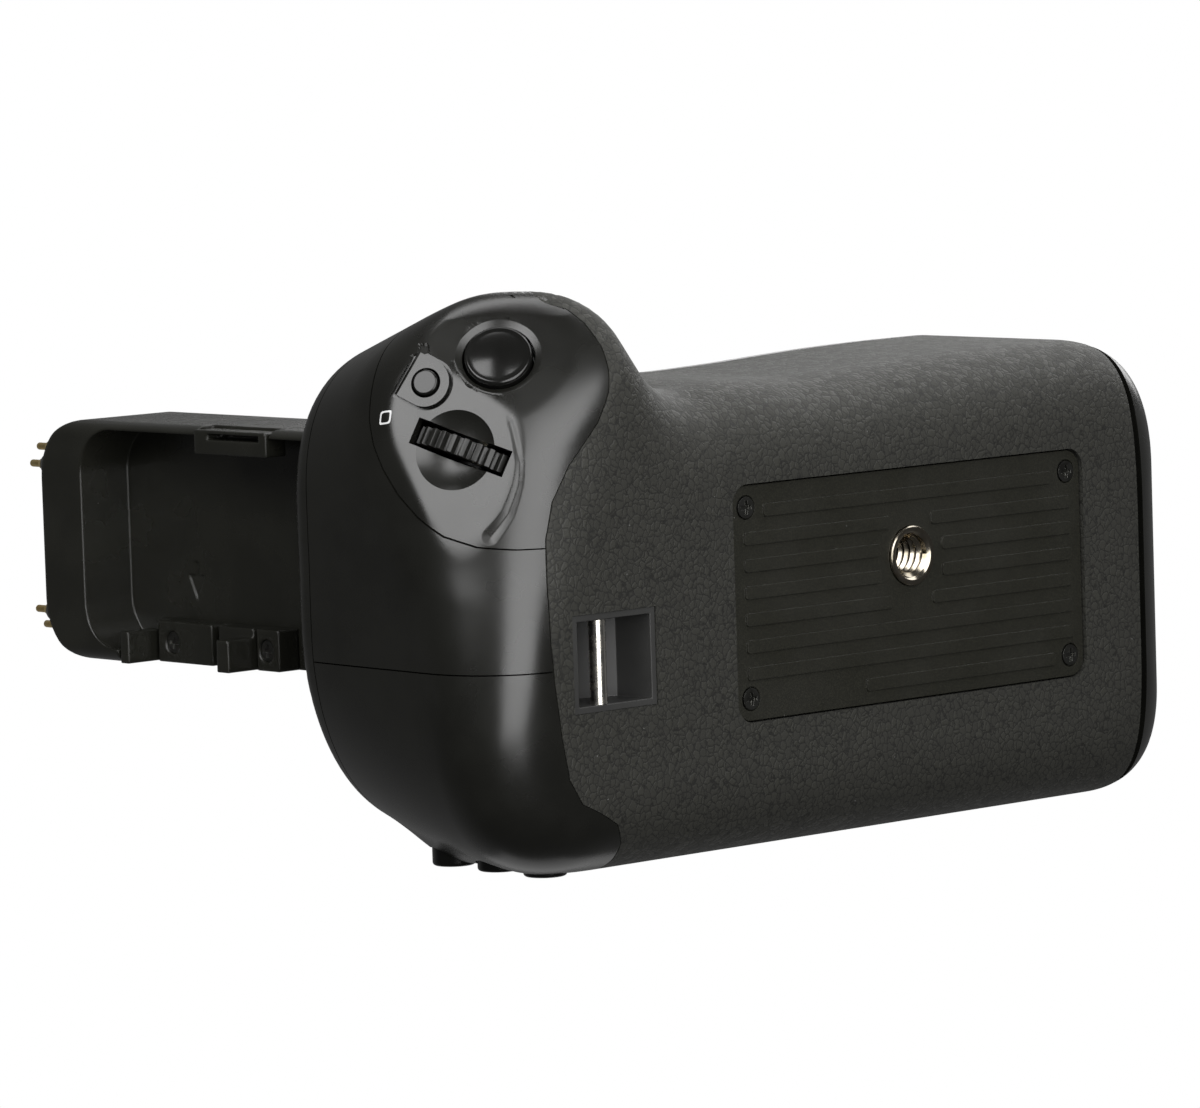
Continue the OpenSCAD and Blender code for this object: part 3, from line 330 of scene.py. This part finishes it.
sideMark = {"Centre": (-81.5, -25.8, 24.0), "Across": (0.24, 0.0, -0.97), "Up": (0.24, -0.95, 0.2),
            "Half": 0.85, "Width": 0.26}
materials = {
    "grained_plastic": grainedPlastic(grainedLook),
    "satin_plastic": smoothPlastic("satinPlastic", (0.0075, 0.0075, 0.0062), 0.27,
                                   ior=1.6, frames=[sideMark]),
    "stalk_plastic": smoothPlastic("stalkPlastic", (0.0115, 0.0115, 0.009), 0.26,
                                   speckle=0.004, rounding=0.7),
    "button_plastic": smoothPlastic("buttonPlastic", (0.006, 0.006, 0.0055), 0.16, speckle=0.001, dust=0.08),
    "dial_plastic": smoothPlastic("dialPlastic", (0.008, 0.008, 0.007), 0.34, speckle=0.004),
    "plate_metal": paintedMetal("platePaint", (0.0115, 0.0113, 0.008), 0.45),
    "screw_steel": turnedMetal("blackScrewSteel", (0.13, 0.13, 0.12), (0.09, 0.09, 0.085), 0.36),
    "nickel": turnedMetal("brightNickel", (0.44, 0.4, 0.33), (0.3, 0.26, 0.19), 0.2),
    "chrome_bar": turnedMetal("chromeBar", (0.82, 0.8, 0.74), (0.74, 0.71, 0.63), 0.24,
                              axis=(0, 1, 0), relief=0.0006),
    "gold": turnedMetal("goldPlate", (1.0, 0.79, 0.38), (0.9, 0.64, 0.26), 0.24),
    "inner_plastic": smoothPlastic("innerPlastic", (0.014, 0.014, 0.0135), 0.42, speckle=0.008),
    "circuit_board": smoothPlastic("boardMask", (0.012, 0.09, 0.035), 0.4, speckle=0.004),
}
wellPlastic = smoothPlastic("wellPlastic", (0.03, 0.03, 0.029), 0.5, speckle=0.004)
print("materials made,", len(materials))


# Mesh helpers

mergeDistance = 0.002 * mm


def nodeMesh(node):
    bm = bmesh.new()
    bm.from_mesh(nodes[node].data)
    bmesh.ops.remove_doubles(bm, verts=bm.verts, dist=mergeDistance)
    return bm


def shadeByAngle(bm, degrees):
    limit = math.radians(degrees)
    for face in bm.faces:
        face.smooth = True
    for edge in bm.edges:
        edge.smooth = edge.is_manifold and edge.calc_face_angle(0.0) < limit


def addPiece(bm, name, node, look=None):
    mesh = bpy.data.meshes.new(name)
    bm.to_mesh(mesh)
    bm.free()
    for layer in [a.name for a in mesh.attributes if a.name == "custom_normal"]:
        mesh.attributes.remove(mesh.attributes[layer])
    mesh.materials.clear()
    mesh.materials.append(look or materials[nodeSlot[node]])
    for polygon in mesh.polygons:
        polygon.material_index = 0
    piece = bpy.data.objects.new(name, mesh)
    bpy.context.scene.collection.objects.link(piece)
    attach(piece, nodeBody[node])
    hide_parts(node)
    return piece


# The moulded body, as in the part: flat facets joined by soft roundings, in millimetres

body = {"left": 83.5, "right": 59.0, "front": 28.9, "rear": 41.5, "top": 45.0, "noseReach": 15.9,
        "noseRear": 10.0, "thumbBase": 16.0, "thumbTop": 41.0, "thumbFront": 10.0, "thumbEnd": 53.5, "sweep": 0.0016}
waist = {"depth": 1.6, "middle": -12.0, "left": 14.0, "right": 26.0}  # hollow of the front wall beside the nose


def softMax(a, b, r):
    return np.maximum(a, b) + np.maximum(r - np.abs(a - b), 0) ** 2 / (4 * r)


def softMin(a, b, r):
    return -softMax(-a, -b, r)


def facet(p, normal, point):
    normal = np.array(normal, float)
    return (p - np.array(point, float)) @ (normal / np.linalg.norm(normal))


def swell(value, middle, spread):
    return np.exp(-((value - middle) / spread) ** 2)


def fromLeft(x, y, z):
    return x - body["left"], y, z


# Facets: the way out, and a point
facets = {
    "corner": ((-0.469, 0.797, 0.382), fromLeft(8.5, body["rear"] - 10, body["top"] - 2)),
    "gripFace": ((-0.12, -0.93, 0.34), fromLeft(19.5, -body["front"] - body["noseReach"], 16)),
    "flank": ((0.8, -0.6, 0), fromLeft(33.2, -body["front"] - 6.6, 10)),
    "thumbSide": ((-0.95, 0, 0.3), fromLeft(13, 36, 36)),
    "end": ((-1, 0, 0.03), fromLeft(0, 0, 12)),
    "dialSide": ((-0.72, -0.35, -0.6), fromLeft(4.5, -body["front"] + 6.9, 11)),
    "shutterSide": ((-0.51, -0.62, -0.6), fromLeft(12.5, -body["front"] - 5.4, 12)),
}
# Widths of the soft roundings between them
rounds = {"wall": 16, "corner": 15, "flank": 11, "noseRear": 2, "thumbTop": 4, "thumbBase": 8, "thumbEnd": 6,
          "thumbFront": 2, "nose": 7, "thumb": 2.5, "rear": 13, "end": 18, "base": 14.0, "dialSide": 10,
          "shutterSide": 4, "top": 3}


def softForm(p):
    x, y, z = p[..., 0], p[..., 1], p[..., 2]
    side = {name: facet(p, *settings) for name, settings in facets.items()}
    hollow = waist["depth"] * swell(x, waist["middle"], np.where(x < waist["middle"], waist["left"], waist["right"]))
    wall = -y - body["front"] + body["sweep"] * np.maximum(0, -4 - x) ** 2 + hollow
    slab = softMax(softMax(wall, x - body["right"], rounds["wall"]), side["corner"], rounds["corner"])
    nose = softMax(side["gripFace"], side["flank"], rounds["flank"])
    nose = softMax(nose, y - body["noseRear"], rounds["noseRear"])
    thumb = softMax(side["thumbSide"], z - body["thumbTop"], rounds["thumbTop"])
    thumb = softMax(thumb, body["thumbBase"] - z, rounds["thumbBase"])
    thumb = softMax(thumb, x + body["left"] - body["thumbEnd"], rounds["thumbEnd"])
    thumb = softMax(thumb, body["thumbFront"] - y, rounds["thumbFront"])
    form = softMin(softMin(slab, nose, rounds["nose"]), thumb, rounds["thumb"])
    form = softMax(form, y - body["rear"], rounds["rear"])
    form = softMax(form, side["end"], rounds["end"])
    form = softMax(form, -z, rounds["base"])
    for name in ("dialSide", "shutterSide"):
        form = softMax(form, side[name], rounds[name])
    return softMax(form, z - body["top"], rounds["top"])


# Flats with narrow edges, on which the dial and the shutter button sit
flats = {"dial": ((-0.815, -0.317, -0.484), (-77.0, -21.6, 13.0)),
         "shutter": ((-0.588, -0.582, -0.561), (-69.4, -34.0, 12.85)),
         "edge": 0.3, "soften": 0.7, "softFrom": -39.3}


def mouldedForm(p):
    dialFlat = softMax(softForm(p), facet(p, *flats["dial"]), flats["edge"])
    edge = flats["edge"] + flats["soften"] * np.maximum(0, flats["softFrom"] - p[..., 1])
    return softMax(dialFlat, facet(p, *flats["shutter"]), edge)


def flatBorder(p):
    soft = softForm(p)
    dialSide = facet(p, *flats["dial"])
    shutterSide = facet(p, *flats["shutter"])
    return np.minimum(np.abs(dialSide - soft), np.abs(shutterSide - np.maximum(soft, dialSide)))


def formSlope(p):
    step = 0.01
    slope = np.stack([mouldedForm(p + step * axis) - mouldedForm(p - step * axis)
                      for axis in np.eye(3)], -1)
    return slope / np.linalg.norm(slope, axis=-1, keepdims=True)


# Left as they are: the round hollows of the dial and the shutter button, and the small button's pad
hollows = [((-86.03, -24.53, 8.55), 12.0), ((-77.16, -41.69, 5.44), 14.6)]  # centre and radius
pad = {"at": (-77.4, -30.5, 19.4), "reach": 6.0, "step": 0.25}
# The nose's tip, where the solid lies deepest under the form
tip = {"at": (-62.0, -41.5, 20.0), "reach": 8.0, "low": -1.4}
along, alongPad, onHollow = 0.6, 0.8, 0.1


def awayFrom(points, place):
    return np.linalg.norm(points - np.array(place), axis=1)


def outerFaces(bm, low, high):
    bm.faces.ensure_lookup_table()
    centres = np.array([face.calc_center_median() for face in bm.faces]) / mm
    normals = np.array([face.normal for face in bm.faces])
    depth = mouldedForm(centres)
    facing = (normals * formSlope(centres)).sum(1)
    lowest = np.where(awayFrom(centres, tip["at"]) < tip["reach"], tip["low"], low)
    onPad = awayFrom(centres, pad["at"]) < pad["reach"]
    outer = (depth > lowest) & (depth < high) & (facing > np.where(onPad, alongPad, along))
    for centre, radius in hollows:
        outer &= np.abs(awayFrom(centres, centre) - radius) > onHollow
    return outer & ~(onPad & (np.abs(depth) > pad["step"])), facing


# Crease in the control cover, between the dial's flat and the slope beside it
valley = {"points": [(-72.25, -26.09, 7.99), (-72.41, -23.94, 6.82), (-72.68, -21.78, 5.89),
                     (-72.96, -19.39, 4.96), (-73.35, -17.72, 4.67), (-73.78, -16.29, 4.55),
                     (-74.58, -14.39, 4.67), (-75.57, -12.25, 4.94), (-76.69, -10.61, 5.6),
                     (-77.73, -9.19, 6.34)],
          "steps": 90, "slope": 0.2, "narrow": 0.6, "wide": 1.3, "near": 1.5, "fine": 0.2, "fadeIn": 0.06}


def valleyLine():
    points = np.array(valley["points"])
    steps = np.linspace(0, len(points) - 1, valley["steps"])
    counts = np.arange(len(points))
    return np.stack([np.interp(steps, counts, points[:, axis]) for axis in range(3)], -1)


def valleyAway(p):
    away = np.linalg.norm(p[:, None, :] - valleyLine()[None], axis=-1)
    return away.min(1), away.argmin(1) / (away.shape[1] - 1)


def valleyDrop(p):
    away, share = valleyAway(p)
    width = valley["narrow"] + (valley["wide"] - valley["narrow"]) * share ** 2
    return valley["slope"] * np.maximum(width - away, 0) * np.clip(share / valley["fadeIn"], 0, 1)


def edgeTarget(points, settings):
    target = np.full(len(points), settings["edge"])
    if settings.get("crisp"):
        target = np.where(flatBorder(points) < 0.5, settings["crisp"], target)
        target = np.where(valleyAway(points)[0] < valley["near"], valley["fine"], target)
    return target


def refine(bm, settings):
    for step in range(settings["passes"]):
        outer, facing = outerFaces(bm, *settings["reach"])
        tagged = {edge for face, isOuter in zip(bm.faces, outer) if isOuter for edge in face.edges}
        tagged = sorted(tagged, key=lambda edge: edge.index)
        middles = np.array([(edge.verts[0].co + edge.verts[1].co) / 2 for edge in tagged]) / mm
        lengths = np.array([edge.calc_length() for edge in tagged]) / mm
        tooLong = lengths > edgeTarget(middles, settings)
        longEdges = [edge for edge, isLong in zip(tagged, tooLong) if isLong]
        if not longEdges:
            break
        bmesh.ops.subdivide_edges(bm, edges=longEdges, cuts=1)
        bmesh.ops.triangulate(bm, faces=[face for face in bm.faces if len(face.verts) > 3])
        bm.edges.index_update()


settling = {"rounds": 8, "stride": 0.3, "leastRate": 0.15}


# Points go to the form along its slope, and those on a seam stay in the seam's wall
def settle(points, walls):
    for step in range(settling["rounds"]):
        slope = formSlope(points)
        way = slope - walls * (slope * walls).sum(1, keepdims=True)
        rate = np.maximum((slope * way).sum(1), settling["leastRate"])
        move = np.clip(mouldedForm(points) / rate, -settling["stride"], settling["stride"])
        points = points - way * move[:, None]
    return points


def mouldedPiece(node, name, settings):
    bm = nodeMesh(node)
    bm.edges.index_update()
    refine(bm, settings)
    outer, facing = outerFaces(bm, *settings["reach"])
    bm.faces.index_update()
    moved, walls = [], []
    for vert in bm.verts:
        rest = [face for face in vert.link_faces if not outer[face.index]]
        if len(rest) == len(vert.link_faces) or any(facing[face.index] > along for face in rest):
            continue
        sides = [face.normal * face.calc_area() for face in rest if facing[face.index] > -along]
        moved.append(vert)
        walls.append(sum(sides, Vector()).normalized())
    points = np.array([vert.co for vert in moved]) / mm
    points = settle(points, np.array(walls))
    if settings.get("crisp"):
        points -= formSlope(points) * valleyDrop(points)[:, None]
    points = np.clip(points, *(np.array(cadBox) / mm))
    for vert, point in zip(moved, points):
        vert.co = Vector(point) * mm
    bm.normal_update()
    shadeByAngle(bm, settings["sharp"])
    print(name, len(bm.faces), "faces")
    return addPiece(bm, name, node)


mouldings = {
    "lower_housing": {"name": "grainedHousing", "edge": 1.4, "passes": 6, "reach": (-0.7, 2.1), "sharp": 32},
    "top_cover": {"name": "topRim", "edge": 1.4, "passes": 6, "reach": (-0.5, 2.1), "sharp": 32},
    "control_cover": {"name": "controlCover", "edge": 0.7, "passes": 8, "reach": (-0.65, 2.1), "sharp": 18,
                      "crisp": 0.4},
    "side_panel": {"name": "sidePanel", "edge": 0.9, "passes": 6, "reach": (-0.5, 2.1), "sharp": 30},
    "rear_cover": {"name": "rearCover", "edge": 0.9, "passes": 6, "reach": (-0.5, 0.4), "sharp": 30},
    "tray_end_cap": {"name": "trayCap", "edge": 1.2, "passes": 6, "reach": (-0.5, 0.4), "sharp": 30},
}
for node, settings in mouldings.items():
    mouldedPiece(node, settings["name"], settings)
print("moulded covers made")


# Pieces that keep their solid's shape, with eased edges

# Hard edges in connected groups, so that each group is eased as far as it allows
def hardGroups(bm, angle):
    limit = math.radians(angle)
    bm.edges.index_update()
    waiting = {edge.index: edge for edge in bm.edges
               if edge.is_manifold and edge.calc_face_angle(0.0) > limit}
    groups = []
    while waiting:
        front = [waiting.pop(min(waiting))]
        group = []
        while front:
            edge = front.pop()
            group.append(edge)
            near = {other.index for vert in edge.verts for other in vert.link_edges} & waiting.keys()
            front.extend(waiting.pop(index) for index in sorted(near))
        groups.append(group)
    return groups


def groupSize(group):
    places = np.array([vert.co for edge in group for vert in edge.verts]) / mm
    return (places.max(0) - places.min(0)).max()


easing = {"flat": 0.4, "angle": 34, "share": 0.03, "segments": 2, "sharp": 38}


def easedPiece(node, name, ease, look=None):
    bm = nodeMesh(node)
    bmesh.ops.dissolve_limit(bm, angle_limit=math.radians(easing["flat"]), verts=bm.verts, edges=bm.edges)
    for group in hardGroups(bm, easing["angle"]):
        offset = min(ease, groupSize(group) * easing["share"]) * mm
        bmesh.ops.bevel(bm, geom=group, offset=offset, offset_type="OFFSET", segments=easing["segments"],
                        profile=0.5, affect="EDGES", clamp_overlap=True, material=-1)
    bm.normal_update()
    shadeByAngle(bm, easing["sharp"])
    piece = addPiece(bm, name, node, look)
    even = piece.modifiers.new("evenNormals", "WEIGHTED_NORMAL")
    even.keep_sharp = True
    return piece


easedPieces = {
    "stalk": ("batteryStalk", 0.5), "stalk_bracket": ("doorBracket", 0.18), "stalk_clip": ("doorClip", 0.18),
    "contact_block_front": ("frontContactBoss", 0.15), "contact_block_rear": ("rearContactBoss", 0.15),
    "bracket_screw_1": ("lowerBracketScrew", 0.08), "bracket_screw_2": ("upperBracketScrew", 0.08),
    "plate_screw_1": ("plateScrew1", 0.08), "plate_screw_2": ("plateScrew2", 0.08),
    "plate_screw_3": ("plateScrew3", 0.08), "plate_screw_4": ("plateScrew4", 0.08),
    "tripod_plate": ("basePlate", 0.1), "strap_well": ("strapWell", 0.15, wellPlastic),
    "main_dial": ("controlDial", 0.12),
    "dial_axle": ("dialAxle", 0.1), "power_switch": ("powerSwitch", 0.2),
    "shutter_switch": ("shutterSwitch", 0.05), "area_switch": ("smallSwitch", 0.05),
    "rear_switch_board": ("rearBoard", 0.05), "tray_sleeve": ("traySleeve", 0.2),
    "sleeve_contacts": ("sleeveContacts", 0.1), "battery_tray": ("batteryTray", 0.25),
    "bay_contact_1": ("bayContact1", 0.03), "bay_contact_2": ("bayContact2", 0.03),
    "latch_knob": ("latchKnob", 0.3), "mounting_wheel": ("thumbWheel", 0.12), "wheel_axle": ("wheelAxle", 0.1),
    "screw_pivot": ("screwPivot", 0.1),
}
for node, settings in easedPieces.items():
    easedPiece(node, *settings)
print("eased pieces made,", len(easedPieces))


# Turned pieces: a profile of radius and height, spun about its own axis

def arc(centre, radius, start, end, steps):
    angles = np.radians(np.linspace(start, end, steps + 1))
    return [(centre[0] + radius * math.cos(a), centre[1] + radius * math.sin(a)) for a in angles]


def axisFrame(node, axis):
    points = np.array([vert.co for vert in nodes[node].data.vertices], float) / mm
    axis = np.array(axis, float) / np.linalg.norm(axis)
    heights = points @ axis
    middle = np.unique(points.round(4), axis=0).mean(0)
    start = middle + axis * (heights.min() - middle @ axis)
    turn = Vector(axis).to_track_quat("Z", "Y").to_matrix().to_4x4()
    return Matrix.Translation(Vector(start) * mm) @ turn, heights.max() - heights.min()


def spunMesh(profile, steps=64):
    bm = bmesh.new()
    chain = [bm.verts.new((radius * mm, 0, height * mm)) for radius, height in profile]
    edges = [bm.edges.new(pair) for pair in zip(chain, chain[1:])]
    bmesh.ops.spin(bm, geom=chain + edges, cent=(0, 0, 0), axis=(0, 0, 1), angle=2 * math.pi,
                   steps=steps, use_merge=True)
    bmesh.ops.remove_doubles(bm, verts=bm.verts, dist=mergeDistance)
    bmesh.ops.recalc_face_normals(bm, faces=bm.faces)
    return bm


def turnedPiece(node, name, axis, profile, sharp=40):
    place, height = axisFrame(node, axis)
    bm = spunMesh(profile(height))
    bmesh.ops.transform(bm, matrix=place, verts=bm.verts)
    shadeByAngle(bm, sharp)
    return addPiece(bm, name, node)


shutter = {"stem": 1.5, "flange": 5.6, "rim": 4.9, "edge": 0.6, "crown": 4.2, "dome": 16.0}


def shutterProfile(height):
    stem, flange, rim, edge, crown, dome = shutter.values()
    start = height - (dome - math.sqrt(dome ** 2 - crown ** 2))
    top = [(crown * share, height - dome + math.sqrt(dome ** 2 - (crown * share) ** 2))
           for share in np.linspace(1, 0, 9)]
    foot = [(0, 0), (stem, 0), (stem, 1.2), (flange - 0.1, 1.2), (flange, 1.3), (flange, 2.0),
            (flange - 0.1, 2.1), (rim, 2.1)]
    return foot + arc((rim - edge, start - 0.55), edge, 0, 80, 6) + top


smallButton = {"radius": 1.9, "edge": 0.35}


def smallButtonProfile(height):
    radius, edge = smallButton.values()
    side = arc((radius - edge, height - edge), edge, 0, 90, 5)
    return [(0, 0), (radius, 0)] + side + [(radius * 0.5, height), (0, height)]


rearButton = {"radius": 3.2, "edge": 0.5}


def rearButtonProfile(height):
    radius, edge = rearButton.values()
    return [(0, 0), (radius, 0)] + arc((radius - edge, height - edge), edge, 0, 90, 6) + [(0, height)]


springPin = {"shank": 1.05, "shoulder": 4.2, "tip": 0.8, "neck": 10.8, "point": 0.56, "ease": 0.1, "round": 0.3}


def pinProfile(height):
    shank, shoulder, tip, neck, point, ease, crown = springPin.values()
    foot = [(0, 0), (shank - ease, 0), (shank, ease), (shank, shoulder - ease), (shank - ease, shoulder)]
    stem = [(tip, shoulder), (tip, neck - 2 * ease), (tip - ease, neck), (point, neck)]
    return foot + stem + arc((point - crown, height - crown), crown, 0, 90, 4) + [(0, height)]


locator = {"root": 1.3, "seat": 1.6, "radius": 1.5, "straight": 3.4, "round": 0.3, "end": 0.85, "flat": 0.7}


def locatorProfile(height):
    root, seat, radius, straight, crown, end, flat = locator.values()
    side = [(0, 0), (root, 0), (root, seat), (radius, seat), (radius, straight)]
    crownArc = arc((radius - crown, straight), crown, 0, 40, 3)
    return side + crownArc + [(end, height - 0.1), (flat, height), (0, height)]


bar = {"radius": 1.25, "ease": 0.1}


def barProfile(height):
    radius, ease = bar.values()
    return [(0, 0), (radius - ease, 0), (radius, ease), (radius, height - ease), (radius - ease, height), (0, height)]


def outOf(joint):
    return [-part for part in joints[joint]["axis"]]


turnedPiece("shutter_button", "shutterButton", outOf("shutter_press"), shutterProfile)
turnedPiece("area_button", "smallButton", outOf("area_press"), smallButtonProfile)
for number in (1, 2, 3):
    turnedPiece(f"rear_button_{number}", f"rearButton{number}", (0, 1, 0), rearButtonProfile)
for number in (1, 2, 3, 4):
    turnedPiece(f"contact_pin_{number}", f"springPin{number}", (0, 0, 1), pinProfile)
turnedPiece("locating_pin", "locatingPin", (0, 0, 1), locatorProfile)
turnedPiece("strap_bar", "strapBar", (0, 1, 0), barProfile)
print("turned pieces made")


# Threads: a closed ridge wound along a helix

thread = {"pitch": 1.27, "major": 3.175, "minor": 2.6, "crest": 0.18, "foot": 0.05, "runOut": 0.9, "steps": 48,
          "sharp": 35}


def threadRidge(bm, root, crest, low, high):
    pitch, half, foot = thread["pitch"], thread["crest"] / 2, thread["foot"]
    turns = (high - low) / pitch - thread["runOut"]
    corners = [(root, foot), (crest, pitch / 2 - half), (crest, pitch / 2 + half), (root, pitch - foot)]
    verts = [bm.verts.new((radius * mm, 0, (low + height) * mm)) for radius, height in corners]
    start = bm.faces.new(verts)
    steps = int(thread["steps"] * turns)
    bmesh.ops.spin(bm, geom=[start] + list(start.edges) + verts, cent=(0, 0, 0), axis=(0, 0, 1),
                   dvec=(0, 0, pitch * turns / steps * mm), angle=2 * math.pi * turns, steps=steps,
                   use_merge=False)


insert = {"outer": 4.45, "collar": 5.95, "collarDrop": 2.8, "collarHeight": 1.6, "bore": 3.2, "mouth": 3.7,
          "lead": 0.45, "ease": 0.15, "root": 3.25}


def threadedInsert():
    low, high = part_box("tripod_insert")
    bottom, top = low.z / mm, high.z / mm
    outer, collar, bore, mouth, ease = (insert[key] for key in ("outer", "collar", "bore", "mouth", "ease"))
    collarLow = top - insert["collarDrop"]
    collarHigh = collarLow + insert["collarHeight"]
    lead = (bore, bottom + insert["lead"])
    profile = [lead, (mouth - 0.1, bottom + 0.05), (mouth, bottom), (outer - ease, bottom), (outer, bottom + ease),
               (outer, collarLow), (collar, collarLow), (collar, collarHigh), (outer, collarHigh), (outer, top),
               (bore, top), lead]
    bm = spunMesh(profile)
    threadRidge(bm, insert["root"], thread["minor"], bottom + 0.2, top - 0.1)
    bmesh.ops.recalc_face_normals(bm, faces=bm.faces)
    shadeByAngle(bm, thread["sharp"])
    return addPiece(bm, "threadedInsert", "tripod_insert")


stud = {"radius": 2.7, "end": 2.2, "chamfer": 0.7, "sunk": 0.5, "root": 2.65, "clear": 0.3}


def cameraScrew():
    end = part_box("mounting_screw")[1].z / mm
    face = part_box("top_cover")[1].z
    bm = nodeMesh("mounting_screw")
    bmesh.ops.bisect_plane(bm, geom=bm.verts[:] + bm.edges[:] + bm.faces[:], plane_co=(0, 0, face),
                           plane_no=(0, 0, 1), clear_outer=True)
    bmesh.ops.holes_fill(bm, edges=[edge for edge in bm.edges if edge.is_boundary], sides=0)
    bmesh.ops.recalc_face_normals(bm, faces=bm.faces)
    start = face / mm - stud["sunk"]
    turned = spunMesh([(0, start), (stud["radius"], start), (stud["radius"], end - stud["chamfer"]),
                       (stud["end"], end), (0, end)])
    threadRidge(turned, stud["root"], thread["major"], face / mm - stud["clear"], end - stud["clear"])
    bmesh.ops.recalc_face_normals(turned, faces=turned.faces)
    holder = bpy.data.meshes.new("stud")
    turned.to_mesh(holder)
    turned.free()
    bm.from_mesh(holder)
    bpy.data.meshes.remove(holder)
    shadeByAngle(bm, thread["sharp"])
    return addPiece(bm, "cameraScrew", "mounting_screw")


threadedInsert()
cameraScrew()
print("threads made")


# Studio: camera of the photograph, softboxes, pale floor, white surround

camera = {"place": (-723.0, -98.7, -731.6), "right": (0.740, 0.032, -0.672), "down": (-0.087, 0.995, -0.048),
          "forward": (0.667, 0.094, 0.739), "sensor": 36, "focal": 6950 / 1200 * 36, "target": (-0.012, 0, 0.03)}


def cameraAxes():
    return (Vector(camera[key]).normalized() for key in ("right", "down", "forward"))


def placeCamera():
    data = bpy.data.cameras.new("photoCamera")
    data.lens = camera["focal"]
    data.sensor_width = camera["sensor"]
    data.clip_start, data.clip_end = 0.01, 20
    eye = bpy.data.objects.new("photoCamera", data)
    bpy.context.scene.collection.objects.link(eye)
    right, down, forward = cameraAxes()
    turn = Matrix((right, -down, -forward)).transposed().to_4x4()
    eye.matrix_world = Matrix.Translation(Vector(camera["place"]) * mm) @ turn
    bpy.context.scene.camera = eye


def studioDirection(side, rise):
    right, down, forward = cameraAxes()
    side, rise = math.radians(side), math.radians(rise)
    return (right * math.sin(side) - forward * math.cos(side)) * math.cos(rise) - down * math.sin(rise)


# Softboxes, placed by their angle to the right of the camera and above it
def softbox(name, box):
    data = bpy.data.lights.new(name, "AREA")
    data.shape = "RECTANGLE"
    data.size, data.size_y = box["width"], box["height"]
    data.energy = box["watts"]
    lamp = bpy.data.objects.new(name, data)
    lamp.visible_camera = False
    bpy.context.scene.collection.objects.link(lamp)
    out = studioDirection(box["side"], box["rise"]).normalized()
    across = Vector(camera["right"])
    if abs(across.dot(out)) > 0.9:
        across = Vector(camera["down"])
    across = (across - out * across.dot(out)).normalized()
    turn = Matrix((across, out.cross(across), out)).transposed().to_4x4()
    lamp.matrix_world = Matrix.Translation(Vector(camera["target"]) + out * box["distance"]) @ turn
    return lamp


softboxes = {
    "leftSoftbox": {"side": -38, "rise": 30, "distance": 0.85, "width": 0.49, "height": 0.52, "watts": 4.0},
    "rightSoftbox": {"side": 19, "rise": 12, "distance": 0.85, "width": 0.62, "height": 0.95, "watts": 7.6},
    "overheadStrip": {"side": 0, "rise": 95, "distance": 0.85, "width": 0.8, "height": 0.25, "watts": 2.2},
    "cornerSoftbox": {"side": 118, "rise": 45, "distance": 1.0, "width": 0.6, "height": 0.6, "watts": 3.0},
    "backSoftbox": {"side": 160, "rise": 35, "distance": 1.2, "width": 0.9, "height": 0.9, "watts": 6.0},
    "rearSoftbox": {"side": 175, "rise": -50, "distance": 1.2, "width": 0.9, "height": 0.9, "watts": 1.2},
}


ground = {"size": 3.0, "under": 0.2 * mm, "colour": (0.86, 0.86, 0.86, 1)}


def paleFloor():
    bm = bmesh.new()
    bmesh.ops.create_grid(bm, x_segments=1, y_segments=1, size=ground["size"])
    bmesh.ops.translate(bm, vec=(0, 0, -ground["under"]), verts=bm.verts)
    mesh = bpy.data.meshes.new("paleFloor")
    bm.to_mesh(mesh)
    bm.free()
    floor = bpy.data.objects.new("paleFloor", mesh)
    bpy.context.scene.collection.objects.link(floor)
    material = bpy.data.materials.new("paleFloor")
    material.use_nodes = True
    tree = material.node_tree
    tree.nodes.clear()
    clear = addNode(tree, "ShaderNodeBsdfTransparent")
    pale = addNode(tree, "ShaderNodeBsdfDiffuse", {"Color": ground["colour"]})
    seen = addNode(tree, "ShaderNodeLightPath").outputs["Is Camera Ray"]
    under = addNode(tree, "ShaderNodeNewGeometry").outputs["Backfacing"]
    shown = math2(tree, "MULTIPLY", seen, math2(tree, "SUBTRACT", 1.0, under))
    mixed = addNode(tree, "ShaderNodeMixShader", {0: shown, 1: clear.outputs[0], 2: pale.outputs[0]})
    addNode(tree, "ShaderNodeOutputMaterial", {"Surface": mixed.outputs[0]})
    mesh.materials.append(material)


surround = {"front": 0.04, "behind": 0.15, "diffuse": 0.13}


def whiteSurround():
    world = bpy.data.worlds.new("whiteSurround")
    bpy.context.scene.world = world
    world.use_nodes = True
    tree = world.node_tree
    tree.nodes.clear()
    rays = addNode(tree, "ShaderNodeLightPath")
    direction = addNode(tree, "ShaderNodeTexCoord").outputs["Generated"]
    ahead = addNode(tree, "ShaderNodeVectorMath", {
        0: direction, 1: camera["forward"]}, operation="DOT_PRODUCT").outputs["Value"]
    mirrored = ramp(tree, ahead, -0.1, 0.75, surround["front"], surround["behind"])
    glossy = math2(tree, "MAXIMUM", rays.outputs["Is Glossy Ray"], rays.outputs["Is Transmission Ray"])
    level = math2(tree, "ADD", math2(tree, "MULTIPLY", glossy, mirrored),
                  math2(tree, "MULTIPLY", math2(tree, "SUBTRACT", 1.0, glossy), surround["diffuse"]))
    strength = math2(tree, "MAXIMUM", level, rays.outputs["Is Camera Ray"])
    back = addNode(tree, "ShaderNodeBackground", {"Color": (1, 1, 1, 1), "Strength": strength})
    addNode(tree, "ShaderNodeOutputWorld", {"Surface": back.outputs[0]})


placeCamera()
for name, box in softboxes.items():
    softbox(name, box)
paleFloor()
whiteSurround()
bpy.context.scene.view_settings.view_transform = "Standard"
print("studio set")
